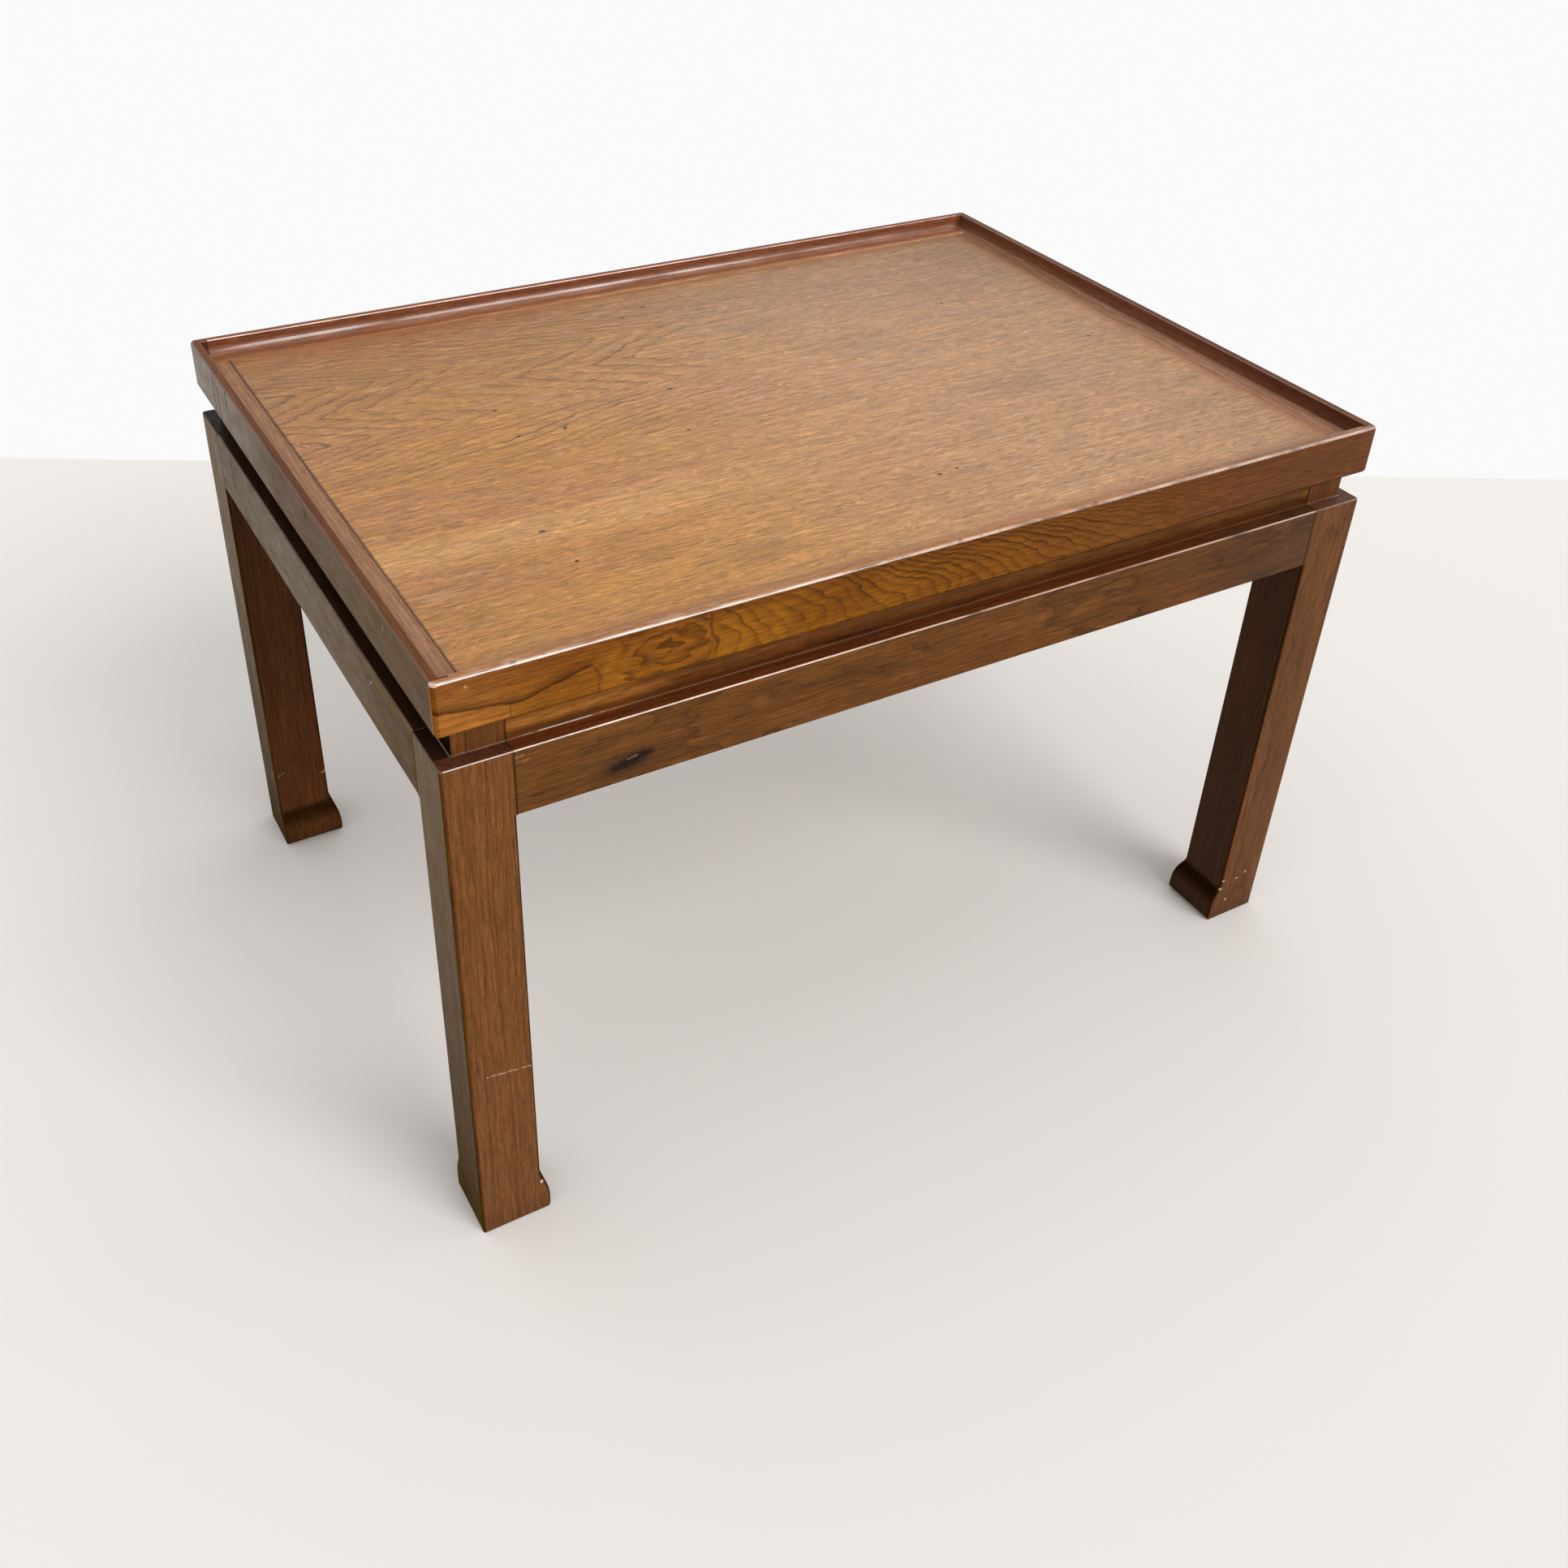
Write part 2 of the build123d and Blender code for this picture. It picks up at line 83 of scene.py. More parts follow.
class Tree:
    """Adds shader nodes by short calls that return sockets."""

    def __init__(self, tree):
        self.tree = tree

    def put(self, socket, value):
        if isinstance(value, bpy.types.NodeSocket):
            self.tree.links.new(value, socket)
        else:
            socket.default_value = value

    def node(self, kind, inputs=(), **settings):
        made = self.tree.nodes.new("ShaderNode" + kind)
        for name, value in settings.items():
            setattr(made, name, value)
        for key, value in dict(inputs).items():
            self.put(made.inputs[key], value)
        return made

    def maths(self, operation, *values):
        made = self.node("Math", dict(enumerate(values)), operation=operation)
        return made.outputs[0]

    def add(self, *values):
        total = values[0]
        for value in values[1:]:
            total = self.maths("ADD", total, value)
        return total

    def times(self, *values):
        total = values[0]
        for value in values[1:]:
            total = self.maths("MULTIPLY", total, value)
        return total

    def less(self, value, other):
        return self.maths("SUBTRACT", value, other)

    def most(self, *values):
        total = values[0]
        for value in values[1:]:
            total = self.maths("MAXIMUM", total, value)
        return total

    def size(self, value):
        return self.maths("ABSOLUTE", value)

    def vector(self, operation, *values):
        made = self.node("VectorMath", dict(enumerate(values)), operation=operation)
        return made.outputs["Value" if operation in ("LENGTH", "DOT_PRODUCT") else "Vector"]

    def scaled(self, vector, factor):
        return self.node("VectorMath", {0: vector, "Scale": factor}, operation="SCALE").outputs[0]

    def parts(self, vector):
        return self.node("SeparateXYZ", {0: vector}).outputs

    def joined(self, x, y, z):
        return self.node("CombineXYZ", {0: x, 1: y, 2: z}).outputs[0]

    def noise(self, vector, grain, detail=2.0, roughness=0.5, step=0.0):
        """Noise, about 0 to 1, whose grain is a length on each axis."""
        place = self.vector("DIVIDE", vector, grain)
        place = self.vector("ADD", place, (step, 1.3 * step, 0.7 * step))
        made = self.node(
            "TexNoise",
            {"Vector": place, "Scale": 1.0, "Detail": detail, "Roughness": roughness},
        )
        return made.outputs["Fac"]

    def wave(self, vector, grain, reach, detail=2.0, step=0.0):
        """Noise between -reach and reach."""
        return self.level(self.noise(vector, grain, detail, 0.5, step), 0.2, 0.8, -reach, reach)

    def smooth(self, value, start, end, to_start=0.0, to_end=1.0):
        """A smooth step from to_start, at start, to to_end, at end."""
        made = self.node(
            "MapRange",
            {"Value": value, "From Min": start, "From Max": end, "To Min": to_start, "To Max": to_end},
            interpolation_type="SMOOTHSTEP",
        )
        return made.outputs[0]

    def level(self, value, start, end, to_start=0.0, to_end=1.0):
        """A straight ramp, held at both ends."""
        made = self.node(
            "MapRange",
            {"Value": value, "From Min": start, "From Max": end, "To Min": to_start, "To Max": to_end},
        )
        return made.outputs[0]

    def band(self, value, start, end, soft):
        """1 between two values, and 0 past them."""
        rise = self.smooth(value, start - soft, start + soft)
        return self.times(rise, self.smooth(value, end - soft, end + soft, 1.0, 0.0))

    def mix(self, share, first, second):
        made = self.node("Mix", data_type="RGBA")
        for name, value in (("Factor_Float", share), ("A_Color", first), ("B_Color", second)):
            self.put(next(s for s in made.inputs if s.identifier == name), value)
        return next(s for s in made.outputs if s.identifier == "Result_Color")

    def use(self, shared, **inputs):
        """A node group's outputs."""
        made = self.node("Group", node_tree=shared)
        for key, value in inputs.items():
            self.put(made.inputs[key], value)
        return made.outputs


def group(name, inputs, outputs):
    """An empty node group. inputs and outputs map a socket's name to its kind."""
    made = bpy.data.node_groups.new(name, "ShaderNodeTree")
    for way, sockets in (("INPUT", inputs), ("OUTPUT", outputs)):
        for socket, kind in sockets.items():
            made.interface.new_socket(socket, in_out=way, socket_type="NodeSocket" + kind)
    entry = made.nodes.new("NodeGroupInput")
    leave = made.nodes.new("NodeGroupOutput")
    return Tree(made), entry.outputs, leave.inputs


def empty_material(name):
    """A material without nodes, and its tree."""
    material = bpy.data.materials.new(name)
    material.use_nodes = True
    material.node_tree.nodes.clear()
    return material, Tree(material.node_tree)


# ------------------------------------------------------------------ wood

def plank_rings():
    """The number of growth rings out from a pith that leans away from the grain and wanders."""
    t, given, out = group(
        "plank_rings",
        {"Place": "Vector", "Pith": "Vector", "Tilt": "Vector", "Ring": "Float",
         "Wander": "Float", "Seed": "Float"},
        {"Rings": "Float"},
    )
    place, wander, seed = given["Place"], given["Wander"], given["Seed"]
    offset = t.vector("SUBTRACT", place, given["Pith"])
    offset = t.vector("SUBTRACT", offset, t.scaled(given["Tilt"], t.parts(place)[0]))
    across, through = t.parts(offset)[1:3]
    shifted = t.vector("ADD", place, t.scaled(t.joined(170.0, 46.0, 46.0), seed))
    across = t.add(across, t.times(t.wave(shifted, (170.0, 46.0, 46.0), 1.0), wander))
    through = t.add(through, t.times(t.wave(shifted, (120.0, 60.0, 60.0), 1.0, 2.0, 7.7), wander))
    radius = t.maths("SQRT", t.add(t.times(across, across), t.times(through, through)))
    small = t.wave(shifted, (26.0, 8.0, 8.0), 0.18, 2.0, 5.3)
    rings = t.maths("DIVIDE", t.add(radius, t.times(small, wander)), given["Ring"])
    t.put(out["Rings"], rings)
    return t.tree


def ring_lines():
    """Late wood from a ring number: a shade that deepens outward and ends in a thin dark line."""
    t, given, out = group(
        "ring_lines", {"Rings": "Float", "Seed": "Float", "Edge": "Float"},
        {"Shade": "Float", "Line": "Float"},
    )
    phase = t.maths("FRACT", given["Rings"])
    number = t.add(t.maths("FLOOR", given["Rings"]), given["Seed"])
    strength = t.node("TexWhiteNoise", {"W": number}, noise_dimensions="1D").outputs["Value"]
    strength = t.level(strength, 0.0, 1.0, 0.35, 1.0)
    crest = t.level(given["Edge"], 0.0, 1.0, 0.7, 1.0)
    fall = t.smooth(phase, crest, 1.0, 1.0, 0.0)
    t.put(out["Shade"], t.times(t.smooth(phase, 0.25, crest), fall, strength))
    t.put(out["Line"], t.times(t.smooth(phase, given["Edge"], crest), fall, strength))
    return t.tree


def fibres():
    """Hairs, pores, streaks, clouds and mottles of a plank whose grain runs along X."""
    names = ("Hair", "Fleck", "Pore", "Streak", "Cloud", "Ruddy", "Mottle")
    t, given, out = group(
        "fibres",
        {"Place": "Vector", "Bend": "Float", "Seed": "Float"},
        {name: "Float" for name in names},
    )
    seed = t.times(given["Seed"], 317.0)
    place = t.vector("ADD", given["Place"], t.joined(seed, seed, seed))
    bend = t.times(t.wave(place, (42.0, 14.0, 14.0), 1.0, 1.0), given["Bend"])
    bent = t.vector("ADD", place, t.joined(0.0, bend, bend))
    t.put(out["Hair"], t.level(t.noise(bent, (40.0, 1.0, 1.0), 2.0, 0.6), 0.3, 0.7))
    t.put(out["Fleck"], t.level(t.noise(bent, (11.0, 0.8, 0.8), 2.0, 0.6, 3.0), 0.34, 0.66))
    t.put(out["Pore"], t.smooth(t.noise(bent, (5.5, 0.5, 0.5), 1.0, 0.5, 5.0), 0.6, 0.7))
    t.put(out["Streak"], t.level(t.noise(bent, (190.0, 2.6, 2.6), 3.0, 0.6, 7.0), 0.3, 0.7))
    t.put(out["Cloud"], t.level(t.noise(place, (230.0, 34.0, 34.0), 3.0, 0.55, 11.0), 0.32, 0.68))
    t.put(out["Ruddy"], t.smooth(t.noise(place, (250.0, 80.0, 80.0), 2.0, 0.5, 13.0), 0.4, 0.66))
    t.put(out["Mottle"], t.level(t.noise(place, (20.0, 9.0, 9.0), 3.0, 0.6, 17.0), 0.3, 0.7))
    return t.tree


def patch_mask():
    """1 inside a soft blot about a centre, whose size is a half length on each axis."""
    t, given, out = group(
        "patch", {"Place": "Vector", "Centre": "Vector", "Size": "Vector", "Soft": "Float"},
        {"Mask": "Float"},
    )
    away = t.vector("DIVIDE", t.vector("SUBTRACT", given["Place"], given["Centre"]), given["Size"])
    away = t.vector("LENGTH", away)
    inner = t.less(1.0, given["Soft"])
    t.put(out["Mask"], t.smooth(away, inner, t.add(1.0, given["Soft"]), 1.0, 0.0))
    return t.tree


def stroke_mask():
    """1 along a thin straight stroke between two places."""
    t, given, out = group(
        "stroke", {"Place": "Vector", "From": "Vector", "To": "Vector", "Width": "Float"},
        {"Mask": "Float"},
    )
    run = t.vector("SUBTRACT", given["To"], given["From"])
    away = t.vector("SUBTRACT", given["Place"], given["From"])
    share = t.maths("DIVIDE", t.vector("DOT_PRODUCT", away, run), t.vector("DOT_PRODUCT", run, run))
    share = t.level(share, 0.0, 1.0)
    distance = t.vector("LENGTH", t.vector("SUBTRACT", away, t.scaled(run, share)))
    half = t.times(given["Width"], 0.5)
    t.put(out["Mask"], t.smooth(distance, t.times(half, 0.4), t.times(half, 1.5), 1.0, 0.0))
    return t.tree


RINGS = plank_rings()
LINES = ring_lines()
FIBRES = fibres()
PATCH = patch_mask()
STROKE = stroke_mask()


@dataclass
class Plank:
    """One plank: how its grain runs, its colours and its lacquer."""
    grain: str = "X"
    pith: tuple = (0.0, 0.0, -60.0)
    tilt: tuple = (0.0, 0.0, 0.0)
    ring: float = 5.0
    wander: float = 8.0
    bend: float = 1.5
    seed: float = 0.0
    pale: tuple = tone(150, 100, 62)
    deep: tuple = tone(110, 66, 38)
    ruddy: tuple = tone(140, 84, 58)
    dark: tuple = tone(70, 40, 22)
    shade_share: float = 0.25
    line_share: float = 0.35
    hair_share: float = 0.14
    fleck_share: float = 0.1
    streak_share: float = 0.16
    pore_share: float = 0.3
    mottle_share: float = 0.08
    rough: float = 0.42
    rough_change: float = 0.08
    sheen: float = 0.06
    edge_gloss: float = 0.8
    # The arris rub's share and tone: real wear, and partly a painted highlight.
    edge_wear_and_highlight: float = 0.35
    worn_and_highlight: tuple = tone(196, 140, 104)
    # inside darkens the faces that look to the middle of the table: painted shade under the table.
    inside: float = 1.0
    relief: float = 0.00003


COAT_ROUGH = 0.14
COAT_IOR = 2.2
GRAIN_ORDER = {"X": (0, 1, 2), "Y": (1, 0, 2), "Z": (2, 0, 1)}
# Near-black for real checks, nicks and scuffs, and also painted shade on ledges under the tray.
BLACK_MARKS_AND_SHADE = tone(26, 14, 9)
SCRATCH = tone(214, 178, 148)


class Finish:
    """A wood material while it is laid up, layer over layer."""

    def __init__(self, name, wood, figure=None):
        self.wood = wood
        self.material, self.t = empty_material(name)
        t = self.t
        self.place = t.scaled(t.node("TexCoord").outputs["Object"], MM)
        self.x, self.y, self.z = t.parts(self.place)
        self.normal = t.parts(t.node("NewGeometry").outputs["Normal"])
        flat = t.most(*[t.size(value) for value in self.normal])
        self.arris = t.smooth(flat, 0.985, 0.93)
        self.level_arris = t.times(self.arris, t.smooth(self.normal[2], 0.06, 0.26))
        self.upright_arris = t.less(self.arris, self.level_arris)
        axes = [(self.x, self.y, self.z)[n] for n in GRAIN_ORDER[wood.grain]]
        self.along = t.joined(*axes)
        self.fibre = t.use(FIBRES, Place=self.along, Bend=wood.bend, Seed=wood.seed)
        self.shade, self.line = figure(self) if figure else self.plain_figure()
        self.colour = self.bare_colour()
        change = t.level(self.fibre["Mottle"], 0.0, 1.0, -wood.rough_change, wood.rough_change)
        self.rough = t.add(change, wood.rough)
        self.height = t.add(t.times(self.fibre["Pore"], -1.0), t.times(self.fibre["Fleck"], 0.3))
        self.coat = 0.0
        self.sheen = wood.sheen
        self.leftward = t.smooth(self.normal[0], -0.6, -0.9)

    def plain_figure(self):
        wood = self.wood
        rings = self.t.use(
            RINGS, Place=self.along, Pith=wood.pith, Tilt=wood.tilt, Ring=wood.ring,
            Wander=wood.wander, Seed=wood.seed,
        )["Rings"]
        lines = self.t.use(LINES, Rings=rings, Seed=wood.seed, Edge=0.8)
        return lines["Shade"], lines["Line"]

    def bare_colour(self):
        t, wood, fibre = self.t, self.wood, self.fibre
        colour = t.mix(fibre["Cloud"], wood.pale, wood.deep)
        return t.mix(fibre["Ruddy"], colour, wood.ruddy)

    def grain(self):
        """The figure and the fibres, over whatever colours have been laid so far."""
        t, wood, fibre = self.t, self.wood, self.fibre
        colour = t.mix(t.times(self.shade, wood.shade_share), self.colour, wood.dark)
        colour = t.mix(t.times(self.line, wood.line_share), colour, wood.dark)
        for name, share in (
            ("Hair", wood.hair_share), ("Fleck", wood.fleck_share),
            ("Streak", wood.streak_share), ("Mottle", wood.mottle_share),
        ):
            colour = t.scaled(colour, t.level(fibre[name], 0.0, 1.0, 1.0 - share, 1.0 + share))
        self.colour = t.mix(t.times(fibre["Pore"], wood.pore_share), colour, wood.dark)
        return self

    def lay(self, mask, colour, share=1.0, rough=0.0, sink=0.0):
        """Lays a colour over the wood where the mask is, with its own roughness and depth."""
        t = self.t
        if share != 1.0:
            mask = t.times(mask, share)
        self.colour = t.mix(mask, self.colour, colour)
        if rough:
            self.rough = t.add(self.rough, t.times(mask, rough))
        if sink:
            self.height = t.add(self.height, t.times(mask, -sink))

    def darken(self, mask, factor):
        """Multiplies the colour by factor where the mask is 1."""
        self.colour = self.t.scaled(self.colour, self.t.level(mask, 0.0, 1.0, 1.0, factor))

    def gloss(self, mask, weight):
        """A clear coat where the mask is."""
        self.coat = self.t.most(self.coat, self.t.times(mask, weight))

    def glance(self, mask, level):
        """Sets the strength of the lacquer's reflection where the mask is."""
        t = self.t
        self.sheen = t.add(t.times(self.sheen, t.less(1.0, mask)), t.times(mask, level))

    def patch(self, centre, size, soft=0.5, ragged=0.0):
        """A blot's mask, its rim broken up by ragged millimetres."""
        place = self.place
        if ragged:
            wave = self.t.wave(place, (3.0, 3.0, 3.0), ragged)
            place = self.t.vector("ADD", place, self.t.joined(wave, wave, wave))
        return self.t.use(PATCH, Place=place, Centre=centre, Size=size, Soft=soft)["Mask"]

    def stroke(self, start, end, width, ragged=0.0):
        """A stroke's mask, its course bent by ragged millimetres."""
        place = self.place
        if ragged:
            wave = self.t.wave(place, (5.0, 5.0, 5.0), ragged)
            place = self.t.vector("ADD", place, self.t.joined(wave, wave, wave))
        return self.t.use(STROKE, Place=place, From=start, To=end, Width=width)["Mask"]

    def scratch(self, start, end, width=0.7, share=0.7):
        """A pale scratch that breaks off here and there."""
        mask = self.stroke(start, end, width, 0.4)
        broken = self.t.smooth(self.t.noise(self.place, (4.0, 4.0, 4.0), 1.0, 0.5, 41.0), 0.36, 0.5)
        self.lay(self.t.times(mask, broken), SCRATCH, share, rough=0.2, sink=0.6)

    def crack(self, start, end, width, share):
        """A dark drying check, which reflects nothing."""
        mask = self.stroke(start, end, width, 1.2)
        self.lay(mask, BLACK_MARKS_AND_SHADE, share, rough=0.3, sink=1.5)
        self.glance(mask, 0.0)

    def close_ends(self, run, end):
        """A dark line where a rail meets its leg."""
        self.darken(self.t.smooth(self.t.size(run), end - 1.2, end - 0.3), 0.4)

    def keep_arris(self, mask):
        """Keeps the wear, the painted highlight and the gloss of the arrises only where the mask is 1.
        """
        self.level_arris = self.t.times(self.level_arris, mask)

    def keep_top_arris(self):
        """Leaves the coves of a tray rail out of the wear, the painted highlight and the gloss."""
        self.keep_arris(self.t.smooth(self.z, TRAY_TOP - TOP_ROUND, TRAY_TOP - 3.0))

    def spare_left_arris(self):
        """Little wear on the outer arris of the left side, as in the photograph."""
        # This also keeps the painted highlight and the gloss low on that arris.
        self.keep_arris(self.t.smooth(self.x, 1.0 - HALF_LENGTH, 3.0 - HALF_LENGTH, 0.15, 1.0))

    def wear_edges_and_paint_light(self):
        """Rubbed arrises: paler and glossier, in broken runs; the pale rub is real wear and partly a
        painted highlight, and upright arrises get painted shade.
        """
        t, wood = self.t, self.wood
        # Painted shade: upright arrises are darkened in place of the dark reflection they show.
        self.darken(self.upright_arris, 0.72)
        self.glance(self.upright_arris, 0.0)
        # The pale rub is real wear and partly a painted highlight on the level arrises.
        rub_and_highlight = t.smooth(t.noise(self.place, (30.0, 30.0, 30.0), 3.0, 0.6, 23.0), 0.3, 0.6)
        self.lay(t.times(self.level_arris, rub_and_highlight), wood.worn_and_highlight, wood.edge_wear_and_highlight)
        nick = t.smooth(t.noise(self.place, (3.5, 3.5, 3.5), 2.0, 0.5, 29.0), 0.66, 0.74)
        self.lay(t.times(self.level_arris, nick), BLACK_MARKS_AND_SHADE, 0.5)
        self.gloss(self.level_arris, wood.edge_gloss)

    def inward(self):
        """1 on the faces that look to the middle of the table, in plan."""
        t = self.t
        ways = []
        for value, place in ((self.normal[0], self.x), (self.normal[1], self.y)):
            ways.append(t.times(value, t.maths("SIGN", place), -1.0))
        return t.smooth(t.most(*ways), 0.3, 0.7)

    def done(self):
        t, wood = self.t, self.wood
        bump = t.node(
            "Bump", {"Height": self.height, "Distance": wood.relief, "Strength": 1.0}
        ).outputs[0]
        shader = t.node("BsdfPrincipled", {
            "Base Color": self.colour,
            "Roughness": t.most(self.rough, 0.05),
            "Specular IOR Level": self.sheen,
            "Coat Weight": self.coat,
            "Coat Roughness": COAT_ROUGH,
            "Coat IOR": COAT_IOR,
            "Normal": bump,
        })
        t.node("OutputMaterial", {"Surface": shader.outputs[0]})
        return self.material


def dress(node, material):
    """Gives a CAD node its material."""
    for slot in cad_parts[node].material_slots:
        slot.material = material


# ------------------------------------------------------------------ the tray

FLAME_CENTRE = 108.0
FLAME_SPREAD = 43.0
FLAME_SLANTS = (2.1, 4.3)
FLAME_PITCH = 30.0


def panel_figure(finish):
    """Two nests of thin flames in the left back of the show veneer, their tips to the right."""
    t = finish.t
    sway = t.wave(finish.place, (120.0, 60.0, 120.0), 6.0, 1.0)
    ripple = t.wave(finish.place, (18.0, 9.0, 18.0), 6.0, 2.0, 3.0)
    y = t.add(finish.y, sway, t.wave(finish.place, (10.0, 8.0, 10.0), 0.8, 1.0, 5.0))
    off = t.less(t.size(t.less(y, FLAME_CENTRE)), FLAME_SPREAD)
    slant = t.smooth(off, -5.0, 5.0, *FLAME_SLANTS)
    off = t.maths("SQRT", t.add(t.times(off, off), 6.0))
    run = t.add(finish.x, t.times(off, slant), ripple)
    lines = t.use(LINES, Rings=t.maths("DIVIDE", run, FLAME_PITCH), Seed=3.0, Edge=0.7)
    where = t.times(
        t.smooth(finish.x, -120.0, 60.0, 1.0, 0.1), t.smooth(finish.y, -50.0, 30.0, 0.16, 1.0),
        t.smooth(finish.y, 170.0, 225.0, 1.0, 0.4),
    )
    broken = t.level(t.noise(finish.place, (26.0, 10.0, 26.0), 2.0, 0.6, 9.0), 0.36, 0.56, 0.45, 1.0)
    return t.times(lines["Shade"], where), t.times(lines["Line"], where, broken, 1.4)


# Dark specks in the panel: x, y and length.
PANEL_SPECKS = (
    (-7, 196, 5.0), (-32, 183, 3.6), (292, -10, 3.4), (-60, 45, 5.0), (-156, 19, 3.2),
    (-189, 67, 3.4), (-190, 21, 4.4), (-229, -109, 5.0), (-225, -152, 3.0), (-79, -21, 3.0),
    (42, -156, 4.0), (58, -154, 2.4), (223, 98, 2.6),
)
# Soft smudges in the panel: x, y and half length.
PANEL_SMUDGES = (
    (-185, -141, 7.0), (-310, -81, 6.0), (-185, -83, 6.0), (-178, -165, 12.0), (-308, -146, 6.0),
    (-302, -186, 16.0), (120, 60, 30.0), (180, -60, 34.0), (60, 120, 24.0), (-120, -190, 26.0),
)


def dress_panel():
    wood = Plank(
        grain="X", bend=2.6, seed=2.0, pale=tone(188, 132, 62), deep=tone(177, 121, 56),
        ruddy=tone(179, 122, 68), dark=tone(92, 52, 28), shade_share=0.3, line_share=0.62,
        hair_share=0.26, fleck_share=0.3, streak_share=0.2, pore_share=0.36, mottle_share=0.1,
        rough=0.4, sheen=0.3, edge_gloss=0.0, edge_wear_and_highlight=0.0,
    )
    f = Finish("show_veneer", wood, panel_figure)
    t = f.t
    golden = t.times(t.smooth(f.x, 60.0, -200.0), t.band(f.y, -122.0, -86.0, 12.0))
    f.lay(golden, tone(214, 162, 96), 0.5)
    f.lay(t.smooth(f.x, -220.0, 140.0), tone(181, 141, 109), 0.66)
    f.darken(t.smooth(f.x, 100.0, 320.0), 0.93)
    f.darken(t.smooth(f.x, -60.0, -300.0), 0.93)
    f.darken(t.smooth(f.y, 20.0, 200.0), 0.8)
    f.lay(t.times(t.smooth(f.y, 130.0, 225.0), t.smooth(f.x, 100.0, -200.0)), tone(150, 94, 58), 0.5)
    f.darken(t.times(t.smooth(f.x, 200.0, 320.0), t.smooth(f.y, 60.0, 200.0, 0.4, 1.0)), 0.84)
    f.grain()
    f.height = t.add(f.height, t.times(f.line, -0.8))
    scuff = t.noise(f.place, (30.0, 8.0, 30.0), 4.0, 0.65, 15.0)
    rim = t.smooth(t.size(t.less(scuff, 0.56)), 0.0, 0.014, 1.0, 0.0)
    f.darken(t.times(rim, t.level(f.fibre["Mottle"], 0.2, 0.8)), 0.8)
    f.lay(t.smooth(scuff, 0.57, 0.64), tone(206, 162, 120), 0.24)
    for x, y, reach in PANEL_SMUDGES:
        f.darken(f.patch((x, y, FLOOR_TOP), (reach, reach * 0.5, 4.0), 0.9, 2.5), 0.84)
    for x, y, reach in PANEL_SPECKS:
        f.lay(f.patch((x, y, FLOOR_TOP), (reach / 2, 1.2, 2.0), 0.3, 0.3), tone(40, 24, 18), 0.95)
    f.scratch((-273.0, 109.0, FLOOR_TOP), (-262.0, 104.0, FLOOR_TOP), 1.0)
    f.scratch((-329.0, 76.0, FLOOR_TOP), (-323.0, 68.0, FLOOR_TOP), 1.2)
    left = t.smooth(f.x, 1.6 - PANEL_X, 0.6 - PANEL_X)
    others = t.most(
        t.smooth(f.x, PANEL_X - 12.0, PANEL_X - 0.6),
        t.smooth(t.size(f.y), PANEL_Y - 10.0, PANEL_Y - 0.6),
    )
    f.lay(others, tone(150, 98, 66), 0.5)
    f.darken(left, 0.5)
    dress("panel_top_veneer", f.done())


EYE = (-213.0, 440.0)
EYE_RING = 8.2
UPRIGHT_LINE = -185.5
TONGUE_START = -180.0
TONGUE_PITCH = 13.0


